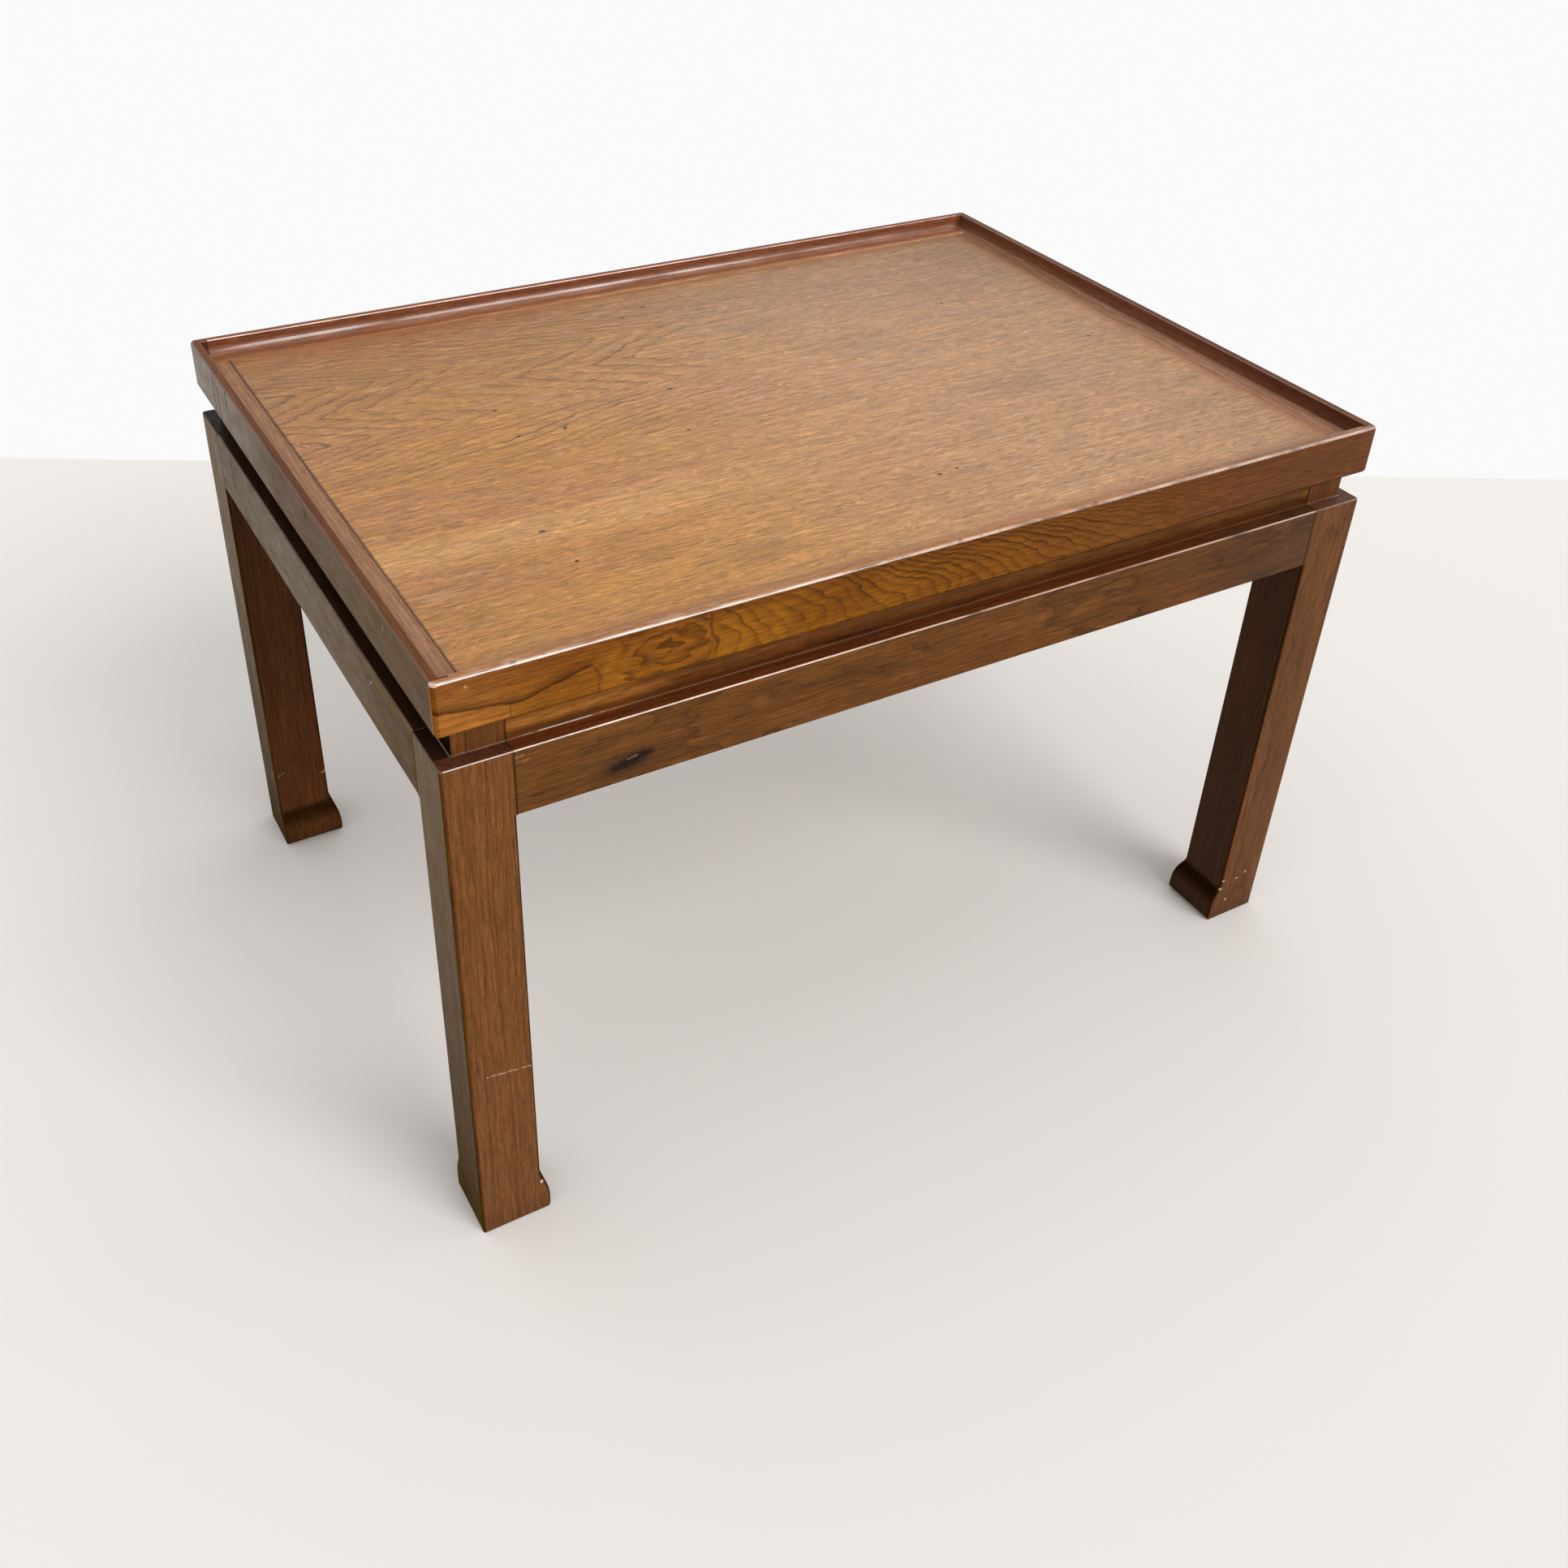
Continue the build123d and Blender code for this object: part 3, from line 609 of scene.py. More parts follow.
def front_rail_figure(finish):
    """Bold late wood of the front rail: a wavering line, an eye, and tongues that lean left."""
    t = finish.t
    jag = t.wave(finish.place, (6.0, 5.0, 4.0), 1.1, 2.0, 6.0)
    x = t.add(finish.x, t.wave(finish.place, (26.0, 22.0, 11.0), 3.0, 1.0), jag)
    z = t.add(finish.z, t.wave(finish.place, (16.0, 14.0, 9.0), 1.3, 2.0, 3.0))

    # The line from the left end, which dips, rises and then drops beside the eye.
    path = t.add(
        t.level(x, -356.0, -306.0, 437.6, 431.6), t.smooth(x, -308.0, -264.0, 0.0, 9.0)
    )
    above = t.less(z, path)
    reach = t.smooth(x, -264.0, -260.0, 1.0, 0.0)
    edge = t.times(t.smooth(t.size(above), 0.5, 1.5, 1.0, 0.0), reach)
    soft = t.times(t.smooth(above, 0.0, 8.0, 1.0, 0.0), t.smooth(above, -0.8, 0.0), reach)
    drop = t.times(
        t.smooth(t.size(t.add(x, 260.0)), 0.4, 1.3, 1.0, 0.0), t.smooth(z, 439.0, 441.0, 0.8, 0.0)
    )

    # The eye and the rings about it, closed off by an upright line.
    swirl = t.wave(finish.place, (17.0, 12.0, 8.0), 9.0, 2.0, 21.0)
    heave = t.wave(finish.place, (12.0, 12.0, 8.0), 4.0, 2.0, 27.0)
    over = t.maths("DIVIDE", t.add(x, swirl, -EYE[0]), 1.8)
    up = t.add(z, heave, -EYE[1])
    out = t.maths("SQRT", t.add(t.times(over, over), t.times(up, up)))
    eye = t.use(LINES, Rings=t.maths("DIVIDE", t.add(out, 4.0), EYE_RING), Seed=6.0, Edge=0.6)
    pupil = t.smooth(out, 1.6, 3.4, 0.8, 0.0)
    eye_side = t.times(t.smooth(x, -250.0, -240.0), t.smooth(x, -190.0, -186.0, 1.0, 0.0))
    upright = t.smooth(t.size(t.less(x, UPRIGHT_LINE)), 0.6, 1.7, 1.0, 0.0)
    upright = t.times(upright, t.smooth(z, 424.0, 430.0, 0.4, 1.0))

    # Tongues: upright low on the rail, and leaning ever more to the left above.
    rise = t.less(z, TRAY_BASE)
    slant = t.smooth(finish.x, -190.0, 20.0, 0.35, 1.15)
    steady = t.smooth(finish.x, -120.0, 160.0, 0.3, 1.6)
    lean = t.add(t.times(rise, steady), t.times(rise, rise, rise, 0.0011, slant))
    swell = t.wave(finish.place, (60.0, 60.0, 26.0), 13.0, 2.0, 12.0)
    tongues = t.use(
        LINES, Rings=t.maths("DIVIDE", t.add(x, lean, swell), TONGUE_PITCH), Seed=8.0, Edge=0.66
    )
    tongue_side = t.times(
        t.smooth(x, TONGUE_START - 3.0, TONGUE_START + 3.0), t.smooth(finish.x, 80.0, 240.0, 1.0, 0.2),
        t.smooth(finish.x, -90.0, -30.0, 1.0, 1.35), t.smooth(finish.z, 428.0, 442.0, 0.5, 1.0),
    )
    front = t.smooth(finish.normal[1], -0.2, -0.6)
    shade = t.add(
        t.times(soft, 1.2), t.times(eye["Shade"], eye_side, 1.2), t.times(tongues["Shade"], tongue_side)
    )
    line = t.most(
        edge, drop, upright, t.times(t.most(t.times(eye["Line"], 0.62), pupil), eye_side),
        t.times(tongues["Line"], tongue_side),
    )
    return t.times(shade, front), t.times(line, front)


LONG_RAIL = Plank(
    grain="X", bend=1.4, seed=5.0, pale=tone(148, 92, 14), deep=tone(128, 76, 12),
    ruddy=tone(128, 74, 16), dark=tone(56, 28, 6), shade_share=0.5, line_share=0.54,
    hair_share=0.24, fleck_share=0.2, streak_share=0.16, mottle_share=0.1, rough=0.4,
    edge_gloss=1.0, edge_wear_and_highlight=0.75, worn_and_highlight=tone(226, 190, 168),
)


# Dark scuffs in the back rail's cove: x of the start, then the heights of the two ends.
BACK_SCUFFS = (
    (34.0, 451.0, 449.8), (40.0, 446.2, 450.4), (45.0, 450.4, 446.2), (50.0, 449.2, 451.0),
    (28.0, 445.6, 449.2),
)


def dress_long_rails():
    f = Finish("tray_front_walnut", LONG_RAIL, front_rail_figure)
    t = f.t
    f.lay(t.smooth(f.x, -160.0, -90.0), tone(104, 57, 6), 0.5)
    f.lay(t.smooth(f.x, -20.0, 300.0), tone(92, 53, 31), 0.8)
    f.lay(t.smooth(f.x, -280.0, -350.0), tone(168, 106, 46), 0.7)
    f.lay(t.smooth(f.z, 446.0, 456.0), tone(96, 50, 16), 0.4)
    f.lay(t.times(t.smooth(f.z, 436.0, 446.0), t.smooth(f.x, -262.0, -276.0)), tone(108, 60, 22), 0.45)
    for x, reach in ((-168.0, 12.0), (-246.0, 8.0), (-142.0, 7.0), (-60.0, 14.0)):
        f.lay(f.patch((x, -HALF_DEPTH, 433.0), (reach, 9.0, 13.0), 0.8, 2.0), tone(166, 104, 20), 0.3)
    flat = t.times(t.smooth(f.normal[2], 0.9, 0.98), t.smooth(f.z, TRAY_TOP - 0.6, TRAY_TOP - 0.1))
    f.lay(flat, tone(172, 120, 78), 0.85)
    f.lay(t.times(flat, t.smooth(f.x, 60.0, 260.0)), tone(136, 104, 88), 0.8)
    finish_long_inside(f)
    f.grain()
    # Painted highlight: pale broken flecks on the lip's top towards the left.
    white = t.smooth(t.noise(f.place, (14.0, 3.0, 3.0), 3.0, 0.6, 37.0), 0.46, 0.6)
    f.lay(t.times(flat, white, t.smooth(f.x, -60.0, -240.0)), tone(228, 204, 186), 0.22)
    # Painted shade: darker along the rail's lower edge.
    f.darken(t.smooth(f.z, TRAY_BASE + 2.4, TRAY_BASE + 0.6), 0.74)
    f.darken(f.stroke((-312.0, -HALF_DEPTH, TRAY_BASE), (-312.0, -HALF_DEPTH, 432.0), 0.8), 0.6)
    f.lay(f.patch((-336.5, -HALF_DEPTH, 450.5), (0.9, 2.0, 0.8), 0.4), SCRATCH, 0.5)
    f.wear_edges_and_paint_light()
    for x in (-309.0, -12.0, 96.0):
        nick = f.patch((x, -HALF_DEPTH + 1.0, TRAY_TOP - 1.0), (2.2, 1.6, 1.6), 0.4, 0.8)
        f.lay(nick, tone(90, 50, 34), 0.6)
    dress("tray_rail_front", f.done())

    back = replace(
        LONG_RAIL, seed=6.0, pith=(0.0, 210.0, 470.0), tilt=(0.0, 0.02, 0.05), ring=6.0,
        wander=7.0, pale=tone(140, 84, 52), deep=tone(116, 66, 40), ruddy=tone(134, 76, 56),
        shade_share=0.25, line_share=0.3,
    )
    f = Finish("tray_back_walnut", back)
    f.lay(f.t.smooth(f.normal[1], 0.3, 0.8), tone(124, 76, 26), 0.8)
    finish_long_inside(f)
    f.grain()
    for x, start, end in BACK_SCUFFS:
        scuff = f.stroke((x, 241.0, start), (x + 8.0, 238.0, end), 0.9, 1.4)
        f.lay(scuff, BLACK_MARKS_AND_SHADE, 0.75)
    f.wear_edges_and_paint_light()
    dress("tray_rail_back", f.done())


def finish_long_inside(f):
    """The rail's inner wall, cove and flat."""
    t = f.t
    inner = t.smooth(t.size(f.y), HALF_DEPTH - LIP + 0.6, HALF_DEPTH - LIP - 0.2)
    f.lay(inner, tone(146, 96, 70), 0.6)
    near = t.times(inner, t.smooth(t.size(f.y), PANEL_Y + 9.0, PANEL_Y))
    f.lay(near, tone(172, 114, 80), 0.75)
    f.lay(t.times(near, t.smooth(f.x, -280.0, 60.0)), tone(202, 150, 108), 0.85)
    wall = t.times(inner, t.smooth(f.z, FLOOR_TOP + 2.0, FLOOR_TOP + 7.0))
    f.lay(wall, tone(122, 68, 44), 0.6)
    cove = t.times(inner, t.band(f.z, FLOOR_TOP + 0.6, FLOOR_TOP + 6.0, 1.0))
    f.gloss(t.times(cove, t.level(t.noise(f.place, (60.0, 9.0, 9.0), 2.0, 0.5, 43.0), 0.3, 0.7)), 0.6)
    f.keep_top_arris()
    f.darken(t.smooth(t.size(f.y), PANEL_Y + 1.4, PANEL_Y + 0.4), 0.85)


SHORT_RAIL = Plank(
    grain="Y", pith=(0.0, 300.0, 380.0), ring=4.0, wander=6.0, bend=1.0, seed=9.0,
    pale=tone(112, 68, 36), deep=tone(88, 50, 26), ruddy=tone(98, 54, 32),
    hair_share=0.14, fleck_share=0.16, streak_share=0.12, edge_gloss=0.6, edge_wear_and_highlight=0.1,
    worn_and_highlight=tone(150, 100, 76),
)


def dress_short_rails():
    for side, seed in (("left", 9.0), ("right", 12.0)):
        rubbed = 0.25 if side == "left" else 0.6
        f = Finish("tray_" + side + "_walnut", replace(SHORT_RAIL, seed=seed, edge_gloss=rubbed))
        t = f.t
        inner = t.smooth(t.size(f.x), HALF_LENGTH - LIP + 0.6, HALF_LENGTH - LIP - 0.2)
        flat = t.times(inner, t.smooth(f.z, FLOOR_TOP + 2.5, FLOOR_TOP + 0.3))
        f.lay(inner, tone(92, 46, 30), 0.6)
        if side == "left":
            f.lay(flat, tone(158, 114, 84), 0.85)
            # Painted highlight: a soft pale band along the middle of the flat.
            soft = t.times(flat, t.band(f.x, -PANEL_X - 8.0, -PANEL_X - 4.0, 2.5))
            f.lay(soft, tone(186, 142, 108), 0.35)
            f.darken(t.smooth(f.x, -PANEL_X - 1.6, -PANEL_X - 0.5), 0.55)
            # Painted shade: the outer left face gets a darker olive base than the rail's lit faces.
            f.lay(f.leftward, tone(89, 64, 8), 0.85)
            f.glance(f.leftward, t.smooth(f.y, 20.0, 262.0, 0.055, 0.64))
            f.grain()
            add_left_checks(f)
        else:
            f.lay(t.times(inner, t.smooth(f.y, -220.0, -60.0)), tone(126, 78, 52), 0.75)
            f.lay(flat, tone(172, 128, 104), 0.8)
            f.lay(t.times(flat, t.smooth(f.y, -80.0, 160.0)), tone(126, 86, 64), 0.7)
            f.lay(t.times(flat, t.smooth(f.x, PANEL_X + 5.0, PANEL_X)), tone(166, 116, 84), 0.4)
            f.grain()
        f.keep_top_arris()
        f.wear_edges_and_paint_light()
        dress("tray_rail_" + side, f.done())


def add_left_checks(f):
    """Dark checks across the left rail's outer face."""
    face = -HALF_LENGTH
    checks = (
        ((face, 190.0, 456.0), (face, 194.0, TRAY_BASE), 1.9),
        ((face, 182.0, 452.0), (face, 179.5, TRAY_BASE), 1.7),
        ((face, 156.0, 456.0), (face, 155.0, 443.0), 1.8),
        ((face, -30.0, 452.0), (face, -31.0, 446.0), 1.6),
    )
    for start, end, width in checks:
        f.crack(start, end, width, 0.9)
    f.scratch((face, -176.5, 449.5), (face, -175.5, 446.0), 1.0)


# ------------------------------------------------------------------ legs, aprons and waist

LEG = Plank(
    grain="Z", pith=(0.0, 420.0, 300.0), ring=3.6, wander=5.0, bend=0.7, seed=20.0,
    pale=tone(110, 66, 28), deep=tone(92, 54, 24), ruddy=tone(102, 58, 26),
    dark=tone(42, 22, 10), shade_share=0.2, line_share=0.4, hair_share=0.23, fleck_share=0.18,
    streak_share=0.18, pore_share=0.45, mottle_share=0.08, edge_gloss=0.9, edge_wear_and_highlight=0.3,
    worn_and_highlight=tone(180, 130, 100), inside=0.4,
)
# The pale and the deep tone of each leg.
LEG_TONES = {
    "front_left": (tone(114, 71, 37), tone(116, 72, 36)),
    "front_right": (tone(110, 68, 36), tone(96, 59, 31)),
    "back_left": (tone(112, 66, 30), tone(98, 56, 26)),
    "back_right": (tone(108, 66, 30), tone(94, 55, 26)),
}


def dress_legs():
    for number, corner in enumerate(CORNERS):
        pale, deep = LEG_TONES[corner]
        f = Finish("leg_" + corner, replace(LEG, seed=20.0 + number, pale=pale, deep=deep, ruddy=deep))
        t = f.t
        # Painted shade: darker towards the floor.
        f.darken(t.smooth(f.z, 26.0, 2.0), 0.78)
        # Painted shade: the outward left faces get a darker olive base than the lit faces, darker still
        # towards the floor.
        outer = t.times(f.leftward, t.smooth(f.x, -HALF_LENGTH + 30.0, -HALF_LENGTH + 14.0))
        f.lay(outer, tone(95, 68, 7), 0.85)
        f.darken(t.times(outer, t.level(f.z, 340.0, 30.0)), 0.56)
        f.glance(outer, t.level(f.z, 20.0, 400.0, 0.004, 0.11))
        waist = t.smooth(f.z, APRON_TOP - 0.4, APRON_TOP + 0.4)
        f.lay(waist, tone(108, 65, 31) if "left" in corner else tone(98, 58, 30), 0.75)
        ledge = t.times(t.smooth(f.normal[2], 0.6, 0.9), t.smooth(f.z, APRON_TOP - 0.6, APRON_TOP - 0.1))
        f.lay(ledge, tone(82, 46, 32) if "left" in corner else tone(104, 68, 52), 0.85)
        f.grain()
        # Painted shade: the left faces of the post's waist, under the tray's overhang, are near black.
        f.darken(t.times(f.leftward, waist), 0.12)
        f.glance(t.times(f.leftward, waist), 0.0)
        # Painted shade: the tops of the hoofs are darkened.
        hoof_top = t.times(t.smooth(f.normal[2], 0.05, 0.4), t.smooth(f.z, HOOF_TOP + 4.0, HOOF_TOP))
        f.darken(hoof_top, 0.35)
        f.glance(hoof_top, 0.0)
        # Painted shade: faces that look to the middle of the table are darkened, the back legs more so
        # towards the top.
        f.darken(f.inward(), t.level(f.z, 60.0, 360.0, 0.7, 0.44) if "back" in corner else LEG.inside)
        joint = t.times(
            t.most(
                t.smooth(t.size(f.x), LEG_X + 1.1, LEG_X + 0.3),
                t.smooth(t.size(f.y), LEG_Y + 1.1, LEG_Y + 0.3),
            ),
            t.smooth(f.z, APRON_BASE - 1.0, APRON_BASE),
        )
        f.darken(joint, 0.5)
        f.glance(t.times(joint, f.leftward), 0.0)
        f.keep_arris(t.band(f.z, APRON_TOP - 8.0, APRON_TOP + 0.3, 0.3))
        f.spare_left_arris()
        # Painted shade: the ledge behind the post, under the tray's overhang, is laid near black.
        behind_post = t.smooth(f.y, -LEG_Y - 33.0, -LEG_Y - 31.0)
        f.lay(t.times(ledge, behind_post, t.smooth(f.x, 0.0, -1.0)), BLACK_MARKS_AND_SHADE, 0.85)
        f.wear_edges_and_paint_light()
        add_leg_marks(f, corner)
        dress("leg_" + corner, f.done())


def add_leg_marks(f, corner):
    """Scratches and chips on the legs."""
    front = -HALF_DEPTH
    if corner == "front_left":
        f.scratch((-343.5, front, 150.0), (-314.0, front, 146.0), 0.9, 0.7)
        f.lay(f.patch((-311.5, front, 29.0), (1.3, 1.5, 1.5), 0.3), SCRATCH, 0.9)
    if corner == "front_right":
        chips = ((314.5, 42.0), (313.0, 33.0), (339.0, 43.0), (330.0, 39.0), (322.0, 18.0))
        for x, z in chips:
            f.lay(f.patch((x, front, z), (1.4, 2.0, 1.1), 0.4, 0.5), SCRATCH, 0.6)
        f.lay(f.patch((HALF_LENGTH - 0.5, front, 388.0), (1.2, 1.5, 2.6), 0.4), SCRATCH, 0.7)
    if corner == "back_left":
        f.scratch((-353.0, HALF_DEPTH - 43.0, 72.0), (-348.0, HALF_DEPTH - 43.0, 75.0), 1.2)
        f.scratch((-316.0, HALF_DEPTH - 43.0, 64.0), (-309.0, HALF_DEPTH - 43.0, 66.0), 1.5, 0.9)


APRON = Plank(
    pith=(0.0, 380.0, 300.0), ring=5.0, wander=8.0, bend=1.2, seed=30.0,
    pale=tone(110, 69, 30), deep=tone(98, 60, 26), ruddy=tone(102, 60, 24),
    dark=tone(42, 22, 10), shade_share=0.2, line_share=0.3, hair_share=0.26, fleck_share=0.2,
    streak_share=0.22, mottle_share=0.06, edge_gloss=1.0, edge_wear_and_highlight=0.7, worn_and_highlight=tone(220, 180, 156),
    inside=0.5,
)
WAIST = replace(
    APRON, ring=4.0, wander=5.0, seed=40.0, pale=tone(112, 68, 28), deep=tone(94, 54, 22),
    ruddy=tone(98, 54, 22), dark=tone(40, 20, 8), streak_share=0.3, edge_gloss=0.06,
    edge_wear_and_highlight=0.12, inside=0.6, worn_and_highlight=tone(140, 78, 52),
)
KNOT = (-239.0, -254.0, 367.0)
BRIGHT_BASE = (-302.0, -252.0)


def dress_aprons():
    for number, side in enumerate(("front", "back", "left", "right")):
        grain = "X" if side in ("front", "back") else "Y"
        f = Finish("apron_" + side, replace(APRON, grain=grain, seed=30.0 + number))
        t = f.t
        run, end = (f.x, LEG_X) if grain == "X" else (f.y, LEG_Y)
        f.lay(t.smooth(f.normal[2], 0.6, 0.95), tone(100, 48, 22), 0.85)
        if side == "front":
            f.lay(t.smooth(f.x, 120.0, 290.0), tone(80, 52, 34), 0.75)
            f.grain()
            add_apron_marks(f)
        elif side == "left":
            # Painted shade: the left ledge under the tray's overhang is near black, and the outer left
            # face gets a darker olive base, darker towards the back.
            f.lay(t.smooth(f.normal[2], 0.6, 0.95), tone(30, 17, 10), 0.85)
            f.lay(f.leftward, tone(90, 66, 8), 0.85)
            shine = t.smooth(f.y, -210.0, 0.0, 0.03, 0.15)
            shine = t.times(shine, t.smooth(f.y, 40.0, 160.0, 1.0, 0.65))
            f.glance(f.leftward, shine)
            f.darken(t.times(f.leftward, t.smooth(f.y, 20.0, 200.0)), 0.86)
            f.grain()
            f.crack((-HALF_LENGTH, 175.0, 393.0), (-HALF_LENGTH, 172.5, 372.0), 1.9, 0.85)
            f.scratch((-HALF_LENGTH, -139.0, 389.0), (-HALF_LENGTH, -134.0, 384.0), 1.0)
        else:
            f.grain()
        # Painted shade on the faces that look to the middle of the table.
        f.darken(f.inward(), APRON.inside)
        f.close_ends(run, end)
        f.spare_left_arris()
        f.wear_edges_and_paint_light()
        dress("apron_" + side, f.done())


def dress_waist():
    for number, side in enumerate(("front", "back", "left", "right")):
        grain = "X" if side in ("front", "back") else "Y"
        f = Finish("waist_" + side, replace(WAIST, grain=grain, seed=40.0 + number))
        t = f.t
        run, end = (f.x, LEG_X) if grain == "X" else (f.y, LEG_Y)
        f.lay(t.smooth(f.z, APRON_TOP + 11.0, APRON_TOP + 3.0), tone(72, 30, 8), 0.62)
        if side == "left":
            # Painted shade: the left faces under the tray's overhang are near black.
            f.darken(t.smooth(f.normal[0], -0.3, -0.8), 0.12)
            f.glance(t.smooth(f.normal[0], -0.3, -0.8), 0.0)
        if side == "front":
            upper = t.smooth(f.z, APRON_TOP + 3.0, APRON_TOP + 9.0, 0.22, 0.85)
            f.lay(t.times(t.smooth(f.x, -190.0, -250.0), upper), tone(152, 96, 40))
            # Painted shade: an olive band near the right leg.
            f.lay(t.band(f.x, 276.0, 302.0, 5.0), tone(58, 46, 30), 0.35)
        f.grain()
        # Painted shade on the faces that look to the middle of the table.
        f.darken(f.inward(), WAIST.inside)
        f.close_ends(run, end)
        f.wear_edges_and_paint_light()
        if side == "front":
            bright = t.smooth(t.noise(f.place, (20.0, 20.0, 20.0), 2.0, 0.6, 31.0), 0.42, 0.52)
            f.gloss(t.times(f.level_arris, bright, t.band(f.x, *BRIGHT_BASE, 3.0)), 0.6)
        dress("waist_rail_" + side, f.done())


def add_apron_marks(f):
    """The front apron's knot, stains, bruises and scratches, and olive patches of painted shade beside
    the right leg and low on the apron.
    """
    t = f.t
    front = -HALF_DEPTH
    f.lay(f.patch((-238.0, front, 380.0), (15.0, 9.0, 6.0), 0.7, 2.0), tone(132, 78, 38), 0.25)
    x, y, z = KNOT
    f.lay(f.patch((x - 3.0, y, z - 1.0), (20.0, 9.0, 8.0), 0.8, 2.5), tone(46, 34, 26), 0.5)
    for step, reach, tall in ((-8.0, 8.0, 3.0), (0.0, 9.0, 3.6), (8.0, 6.0, 2.6)):
        place = (x + step, y, z + 0.3 * step)
        f.lay(f.patch(place, (reach, 5.0, tall), 0.7, 1.4), tone(22, 15, 15), 0.8)
    f.lay(f.stroke((x - 3.0, front, z + 1.4), (x + 4.0, front, z + 2.8), 0.8, 0.5), SCRATCH, 0.3)
    f.lay(f.patch((-151.0, front, 381.0), (6.0, 8.0, 4.5), 0.7, 2.0), tone(138, 84, 44), 0.3)
    f.lay(f.patch((-145.0, front, 384.0), (5.0, 4.0, 4.0), 0.7, 1.5), BLACK_MARKS_AND_SHADE, 0.25)
    # Painted shade: an olive band beside the right leg.
    f.lay(t.band(f.x, 291.0, LEG_X + 3.0, 3.5), tone(80, 56, 36), 0.35)
    f.lay(t.band(f.x, 228.0, 250.0, 8.0), tone(78, 52, 32), 0.2)
    # Painted shade: an olive patch low on the apron.
    f.lay(f.patch((270.0, front, 356.0), (12.0, 9.0, 5.0), 0.6, 2.0), tone(50, 42, 28), 0.55)
    f.scratch((-311.0, front, 393.5), (-306.0, front, 394.5), 0.8, 0.3)
    f.scratch((-308.0, front, 389.0), (-303.0, front, 391.0), 0.7, 0.22)


def dress_hidden_pieces():
    """Pieces seen only from below or not at all."""
    core = Plank(
        grain="X", pale=tone(190, 160, 118), deep=tone(168, 136, 96), ruddy=tone(178, 142, 104),
        dark=tone(110, 80, 52), seed=50.0, edge_gloss=0.0, edge_wear_and_highlight=0.0, rough=0.6,
    )
    dress("panel_core", Finish("core_board", core).grain().done())
    back = replace(
        core, seed=51.0, pale=tone(128, 92, 62), deep=tone(110, 76, 50), ruddy=tone(118, 78, 54),
        dark=tone(66, 42, 26), pith=(0.0, 60.0, 380.0), ring=6.0, wander=14.0,
    )
    dress("panel_back_veneer", Finish("back_veneer", back).grain().done())
    block = replace(
        core, seed=52.0, pale=tone(172, 134, 88), deep=tone(150, 112, 70), pith=(0.0, 300.0, 300.0),
    )
    wood = Finish("block_wood", block).grain().done()
    for corner in CORNERS:
        dress("corner_block_" + corner, wood)
    dowel = replace(core, seed=53.0, pale=tone(198, 168, 124), deep=tone(180, 148, 104))
    wood = Finish("dowel_wood", dowel).grain().done()
    dress("tray_corner_dowels", wood)
    dress("apron_dowels", wood)
    steel = screw_steel()
    for node in ("block_screws", "tray_screws"):
        dress(node, steel)


def screw_steel():
    material, t = empty_material("screw_steel")
    place = t.scaled(t.node("TexCoord").outputs["Object"], MM)
    stain = t.smooth(t.noise(place, (1.6, 1.6, 1.6), 3.0, 0.6), 0.45, 0.65)
    shader = t.node("BsdfPrincipled", {
        "Base Color": t.mix(stain, tone(150, 146, 138), tone(96, 76, 58)),
        "Metallic": t.level(stain, 0.0, 1.0, 1.0, 0.4),
        "Roughness": t.level(stain, 0.0, 1.0, 0.32, 0.7),
    })
    t.node("OutputMaterial", {"Surface": shader.outputs[0]})
    return material


# ------------------------------------------------------------------ floor, backdrop, light, camera

# The wall's foot runs through these two places, as in the photograph.
WALL_POINTS = ((-0.454, 1.090), (1.315, 0.155))
FLOOR_REACH = 6.0
WALL_HEIGHT = 4.0
FLOOR_TONE = tone(237, 233, 228)
BACKDROP_TONE = tone(250, 250, 250)
ROOM_LIGHT = 0.7
LAMPS_AIM = (0.0, 0.0, 0.3)
WINDOW_PLACE = (0.8, -2.4, 2.3)
WINDOW_POWER = 1.6
WINDOW_ANGLE = radians(36.0)
OVERHEAD_PLACE = (0.0, 0.4, 3.4)
OVERHEAD_POWER = 8.0
OVERHEAD_SIDE = 3.0


def stage_material(name, kind, inputs):
    """One shader on the front of a sheet. Its back is clear: views from there see past it."""
    material, t = empty_material(name)
    shown = t.node(kind, inputs).outputs[0]
    clear = t.node("BsdfTransparent").outputs[0]
    behind = t.node("NewGeometry").outputs["Backfacing"]
    surface = t.node("MixShader", {0: behind, 1: shown, 2: clear}).outputs[0]
    t.node("OutputMaterial", {"Surface": surface})
    return material


def sheet_object(name, corners, material):
    mesh = bpy.data.meshes.new(name)
    mesh.from_pydata([tuple(corner) for corner in corners], [], [tuple(range(len(corners)))])
    mesh.materials.append(material)
    made = bpy.data.objects.new(name, mesh)
    bpy.context.scene.collection.objects.link(made)
    return made


def make_stage():
    reach = FLOOR_REACH
    sheet_object(
        "stage_floor",
        [(-reach, -reach, 0), (reach, -reach, 0), (reach, reach, 0), (-reach, reach, 0)],
        stage_material("stage_floor", "BsdfPrincipled", {
            "Base Color": FLOOR_TONE, "Roughness": 0.8, "Specular IOR Level": 0.1,
        }),
    )
    left, right = (Vector(point + (0.0,)) for point in WALL_POINTS)
    run = (right - left).normalized() * reach
    middle = (left + right) / 2
    up = Vector((0, 0, WALL_HEIGHT))
    wall = sheet_object(
        "stage_wall",
        [middle - run, middle + run, middle + run + up, middle - run + up],
        stage_material("backdrop_white", "Emission", {"Color": BACKDROP_TONE, "Strength": 1.0}),
    )
    wall.visible_shadow = False
    wall.visible_diffuse = False


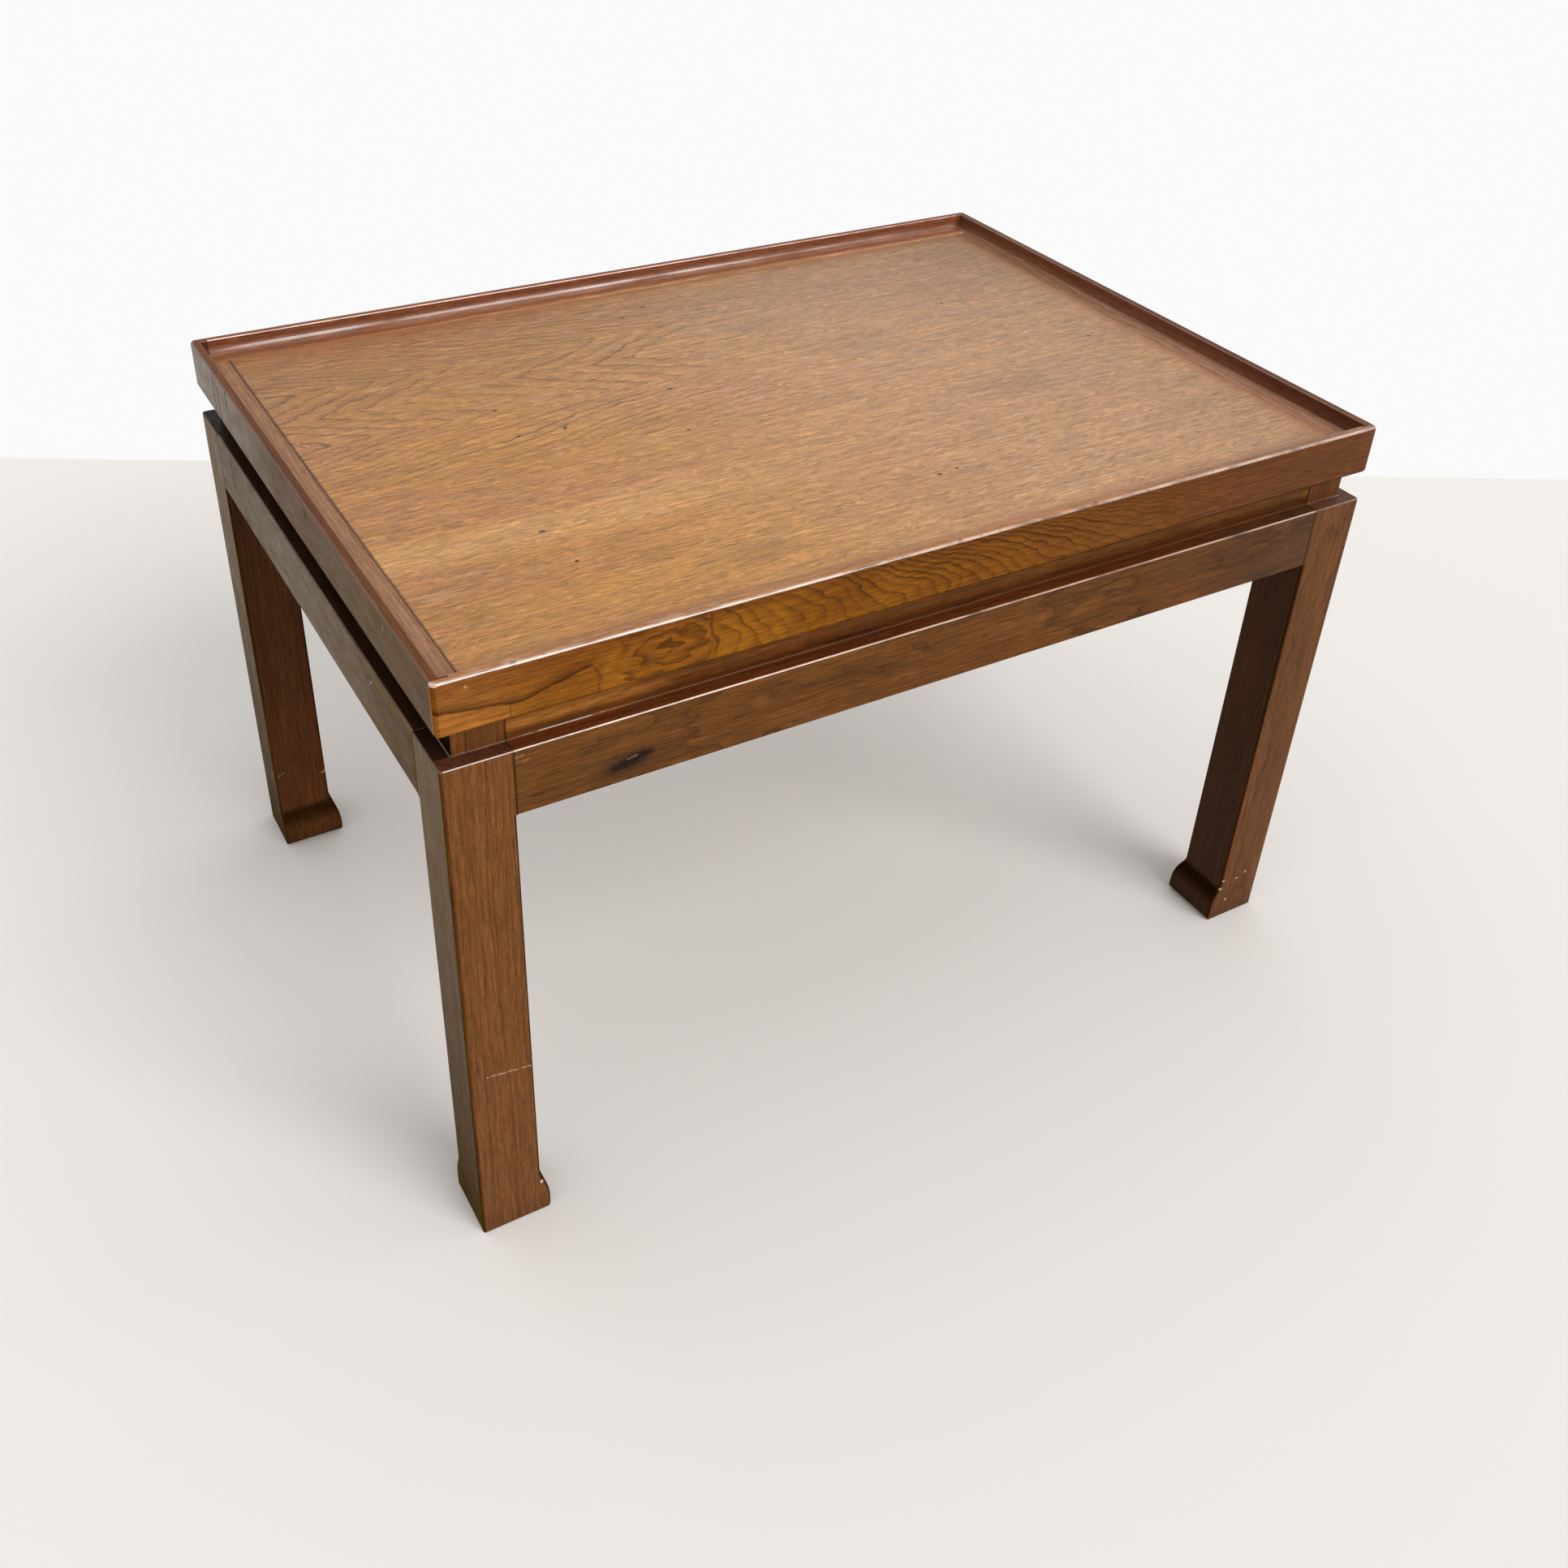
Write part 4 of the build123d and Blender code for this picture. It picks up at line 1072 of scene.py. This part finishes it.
def lamp(name, kind, place, aim, power, **settings):
    data = bpy.data.lights.new(name, kind)
    data.energy = power
    for key, value in settings.items():
        setattr(data, key, value)
    made = bpy.data.objects.new(name, data)
    bpy.context.scene.collection.objects.link(made)
    made.location = place
    made.rotation_mode = "QUATERNION"
    made.rotation_quaternion = (Vector(aim) - Vector(place)).to_track_quat("-Z", "Y")


def make_lights():
    world = bpy.data.worlds.new("studio")
    bpy.context.scene.world = world
    world.use_nodes = True
    world.node_tree.nodes.clear()
    t = Tree(world.node_tree)
    path = t.node("LightPath").outputs
    seen = t.most(path["Is Camera Ray"], path["Is Transmission Ray"])
    dim = t.node("Background", {"Color": (1.0, 1.0, 1.0, 1.0), "Strength": ROOM_LIGHT}).outputs[0]
    white = t.node("Background", {"Color": BACKDROP_TONE, "Strength": 1.0}).outputs[0]
    surface = t.node("MixShader", {0: seen, 1: dim, 2: white}).outputs[0]
    t.node("OutputWorld", {"Surface": surface})
    lamp("window", "SUN", WINDOW_PLACE, LAMPS_AIM, WINDOW_POWER, angle=WINDOW_ANGLE)
    lamp(
        "overhead", "AREA", OVERHEAD_PLACE, LAMPS_AIM, OVERHEAD_POWER,
        shape="RECTANGLE", size=OVERHEAD_SIDE, size_y=OVERHEAD_SIDE,
    )


def make_camera():
    back = Vector((
        sin(CAMERA_AZIMUTH) * cos(CAMERA_ELEVATION),
        -cos(CAMERA_AZIMUTH) * cos(CAMERA_ELEVATION),
        sin(CAMERA_ELEVATION),
    ))
    level = (-back).cross(Vector((0, 0, 1))).normalized()
    upright = level.cross(-back)
    right = cos(CAMERA_ROLL) * level + sin(CAMERA_ROLL) * upright
    up = cos(CAMERA_ROLL) * upright - sin(CAMERA_ROLL) * level
    data = bpy.data.cameras.new("camera")
    data.sensor_width = SENSOR
    data.lens = SENSOR * CAMERA_FOCAL / PHOTO_SIDE
    data.shift_x = -LENS_CENTRE[0] / PHOTO_SIDE
    data.shift_y = LENS_CENTRE[1] / PHOTO_SIDE
    camera = bpy.data.objects.new("camera", data)
    bpy.context.scene.collection.objects.link(camera)
    camera.matrix_world = (
        Matrix.Translation(CAMERA_PLACE) @ Matrix((right, up, back)).transposed().to_4x4()
    )
    bpy.context.scene.camera = camera


bpy.context.scene.view_settings.view_transform = "Standard"
dress_panel()
dress_long_rails()
dress_short_rails()
dress_legs()
dress_aprons()
dress_waist()
dress_hidden_pieces()
make_stage()
make_lights()
make_camera()
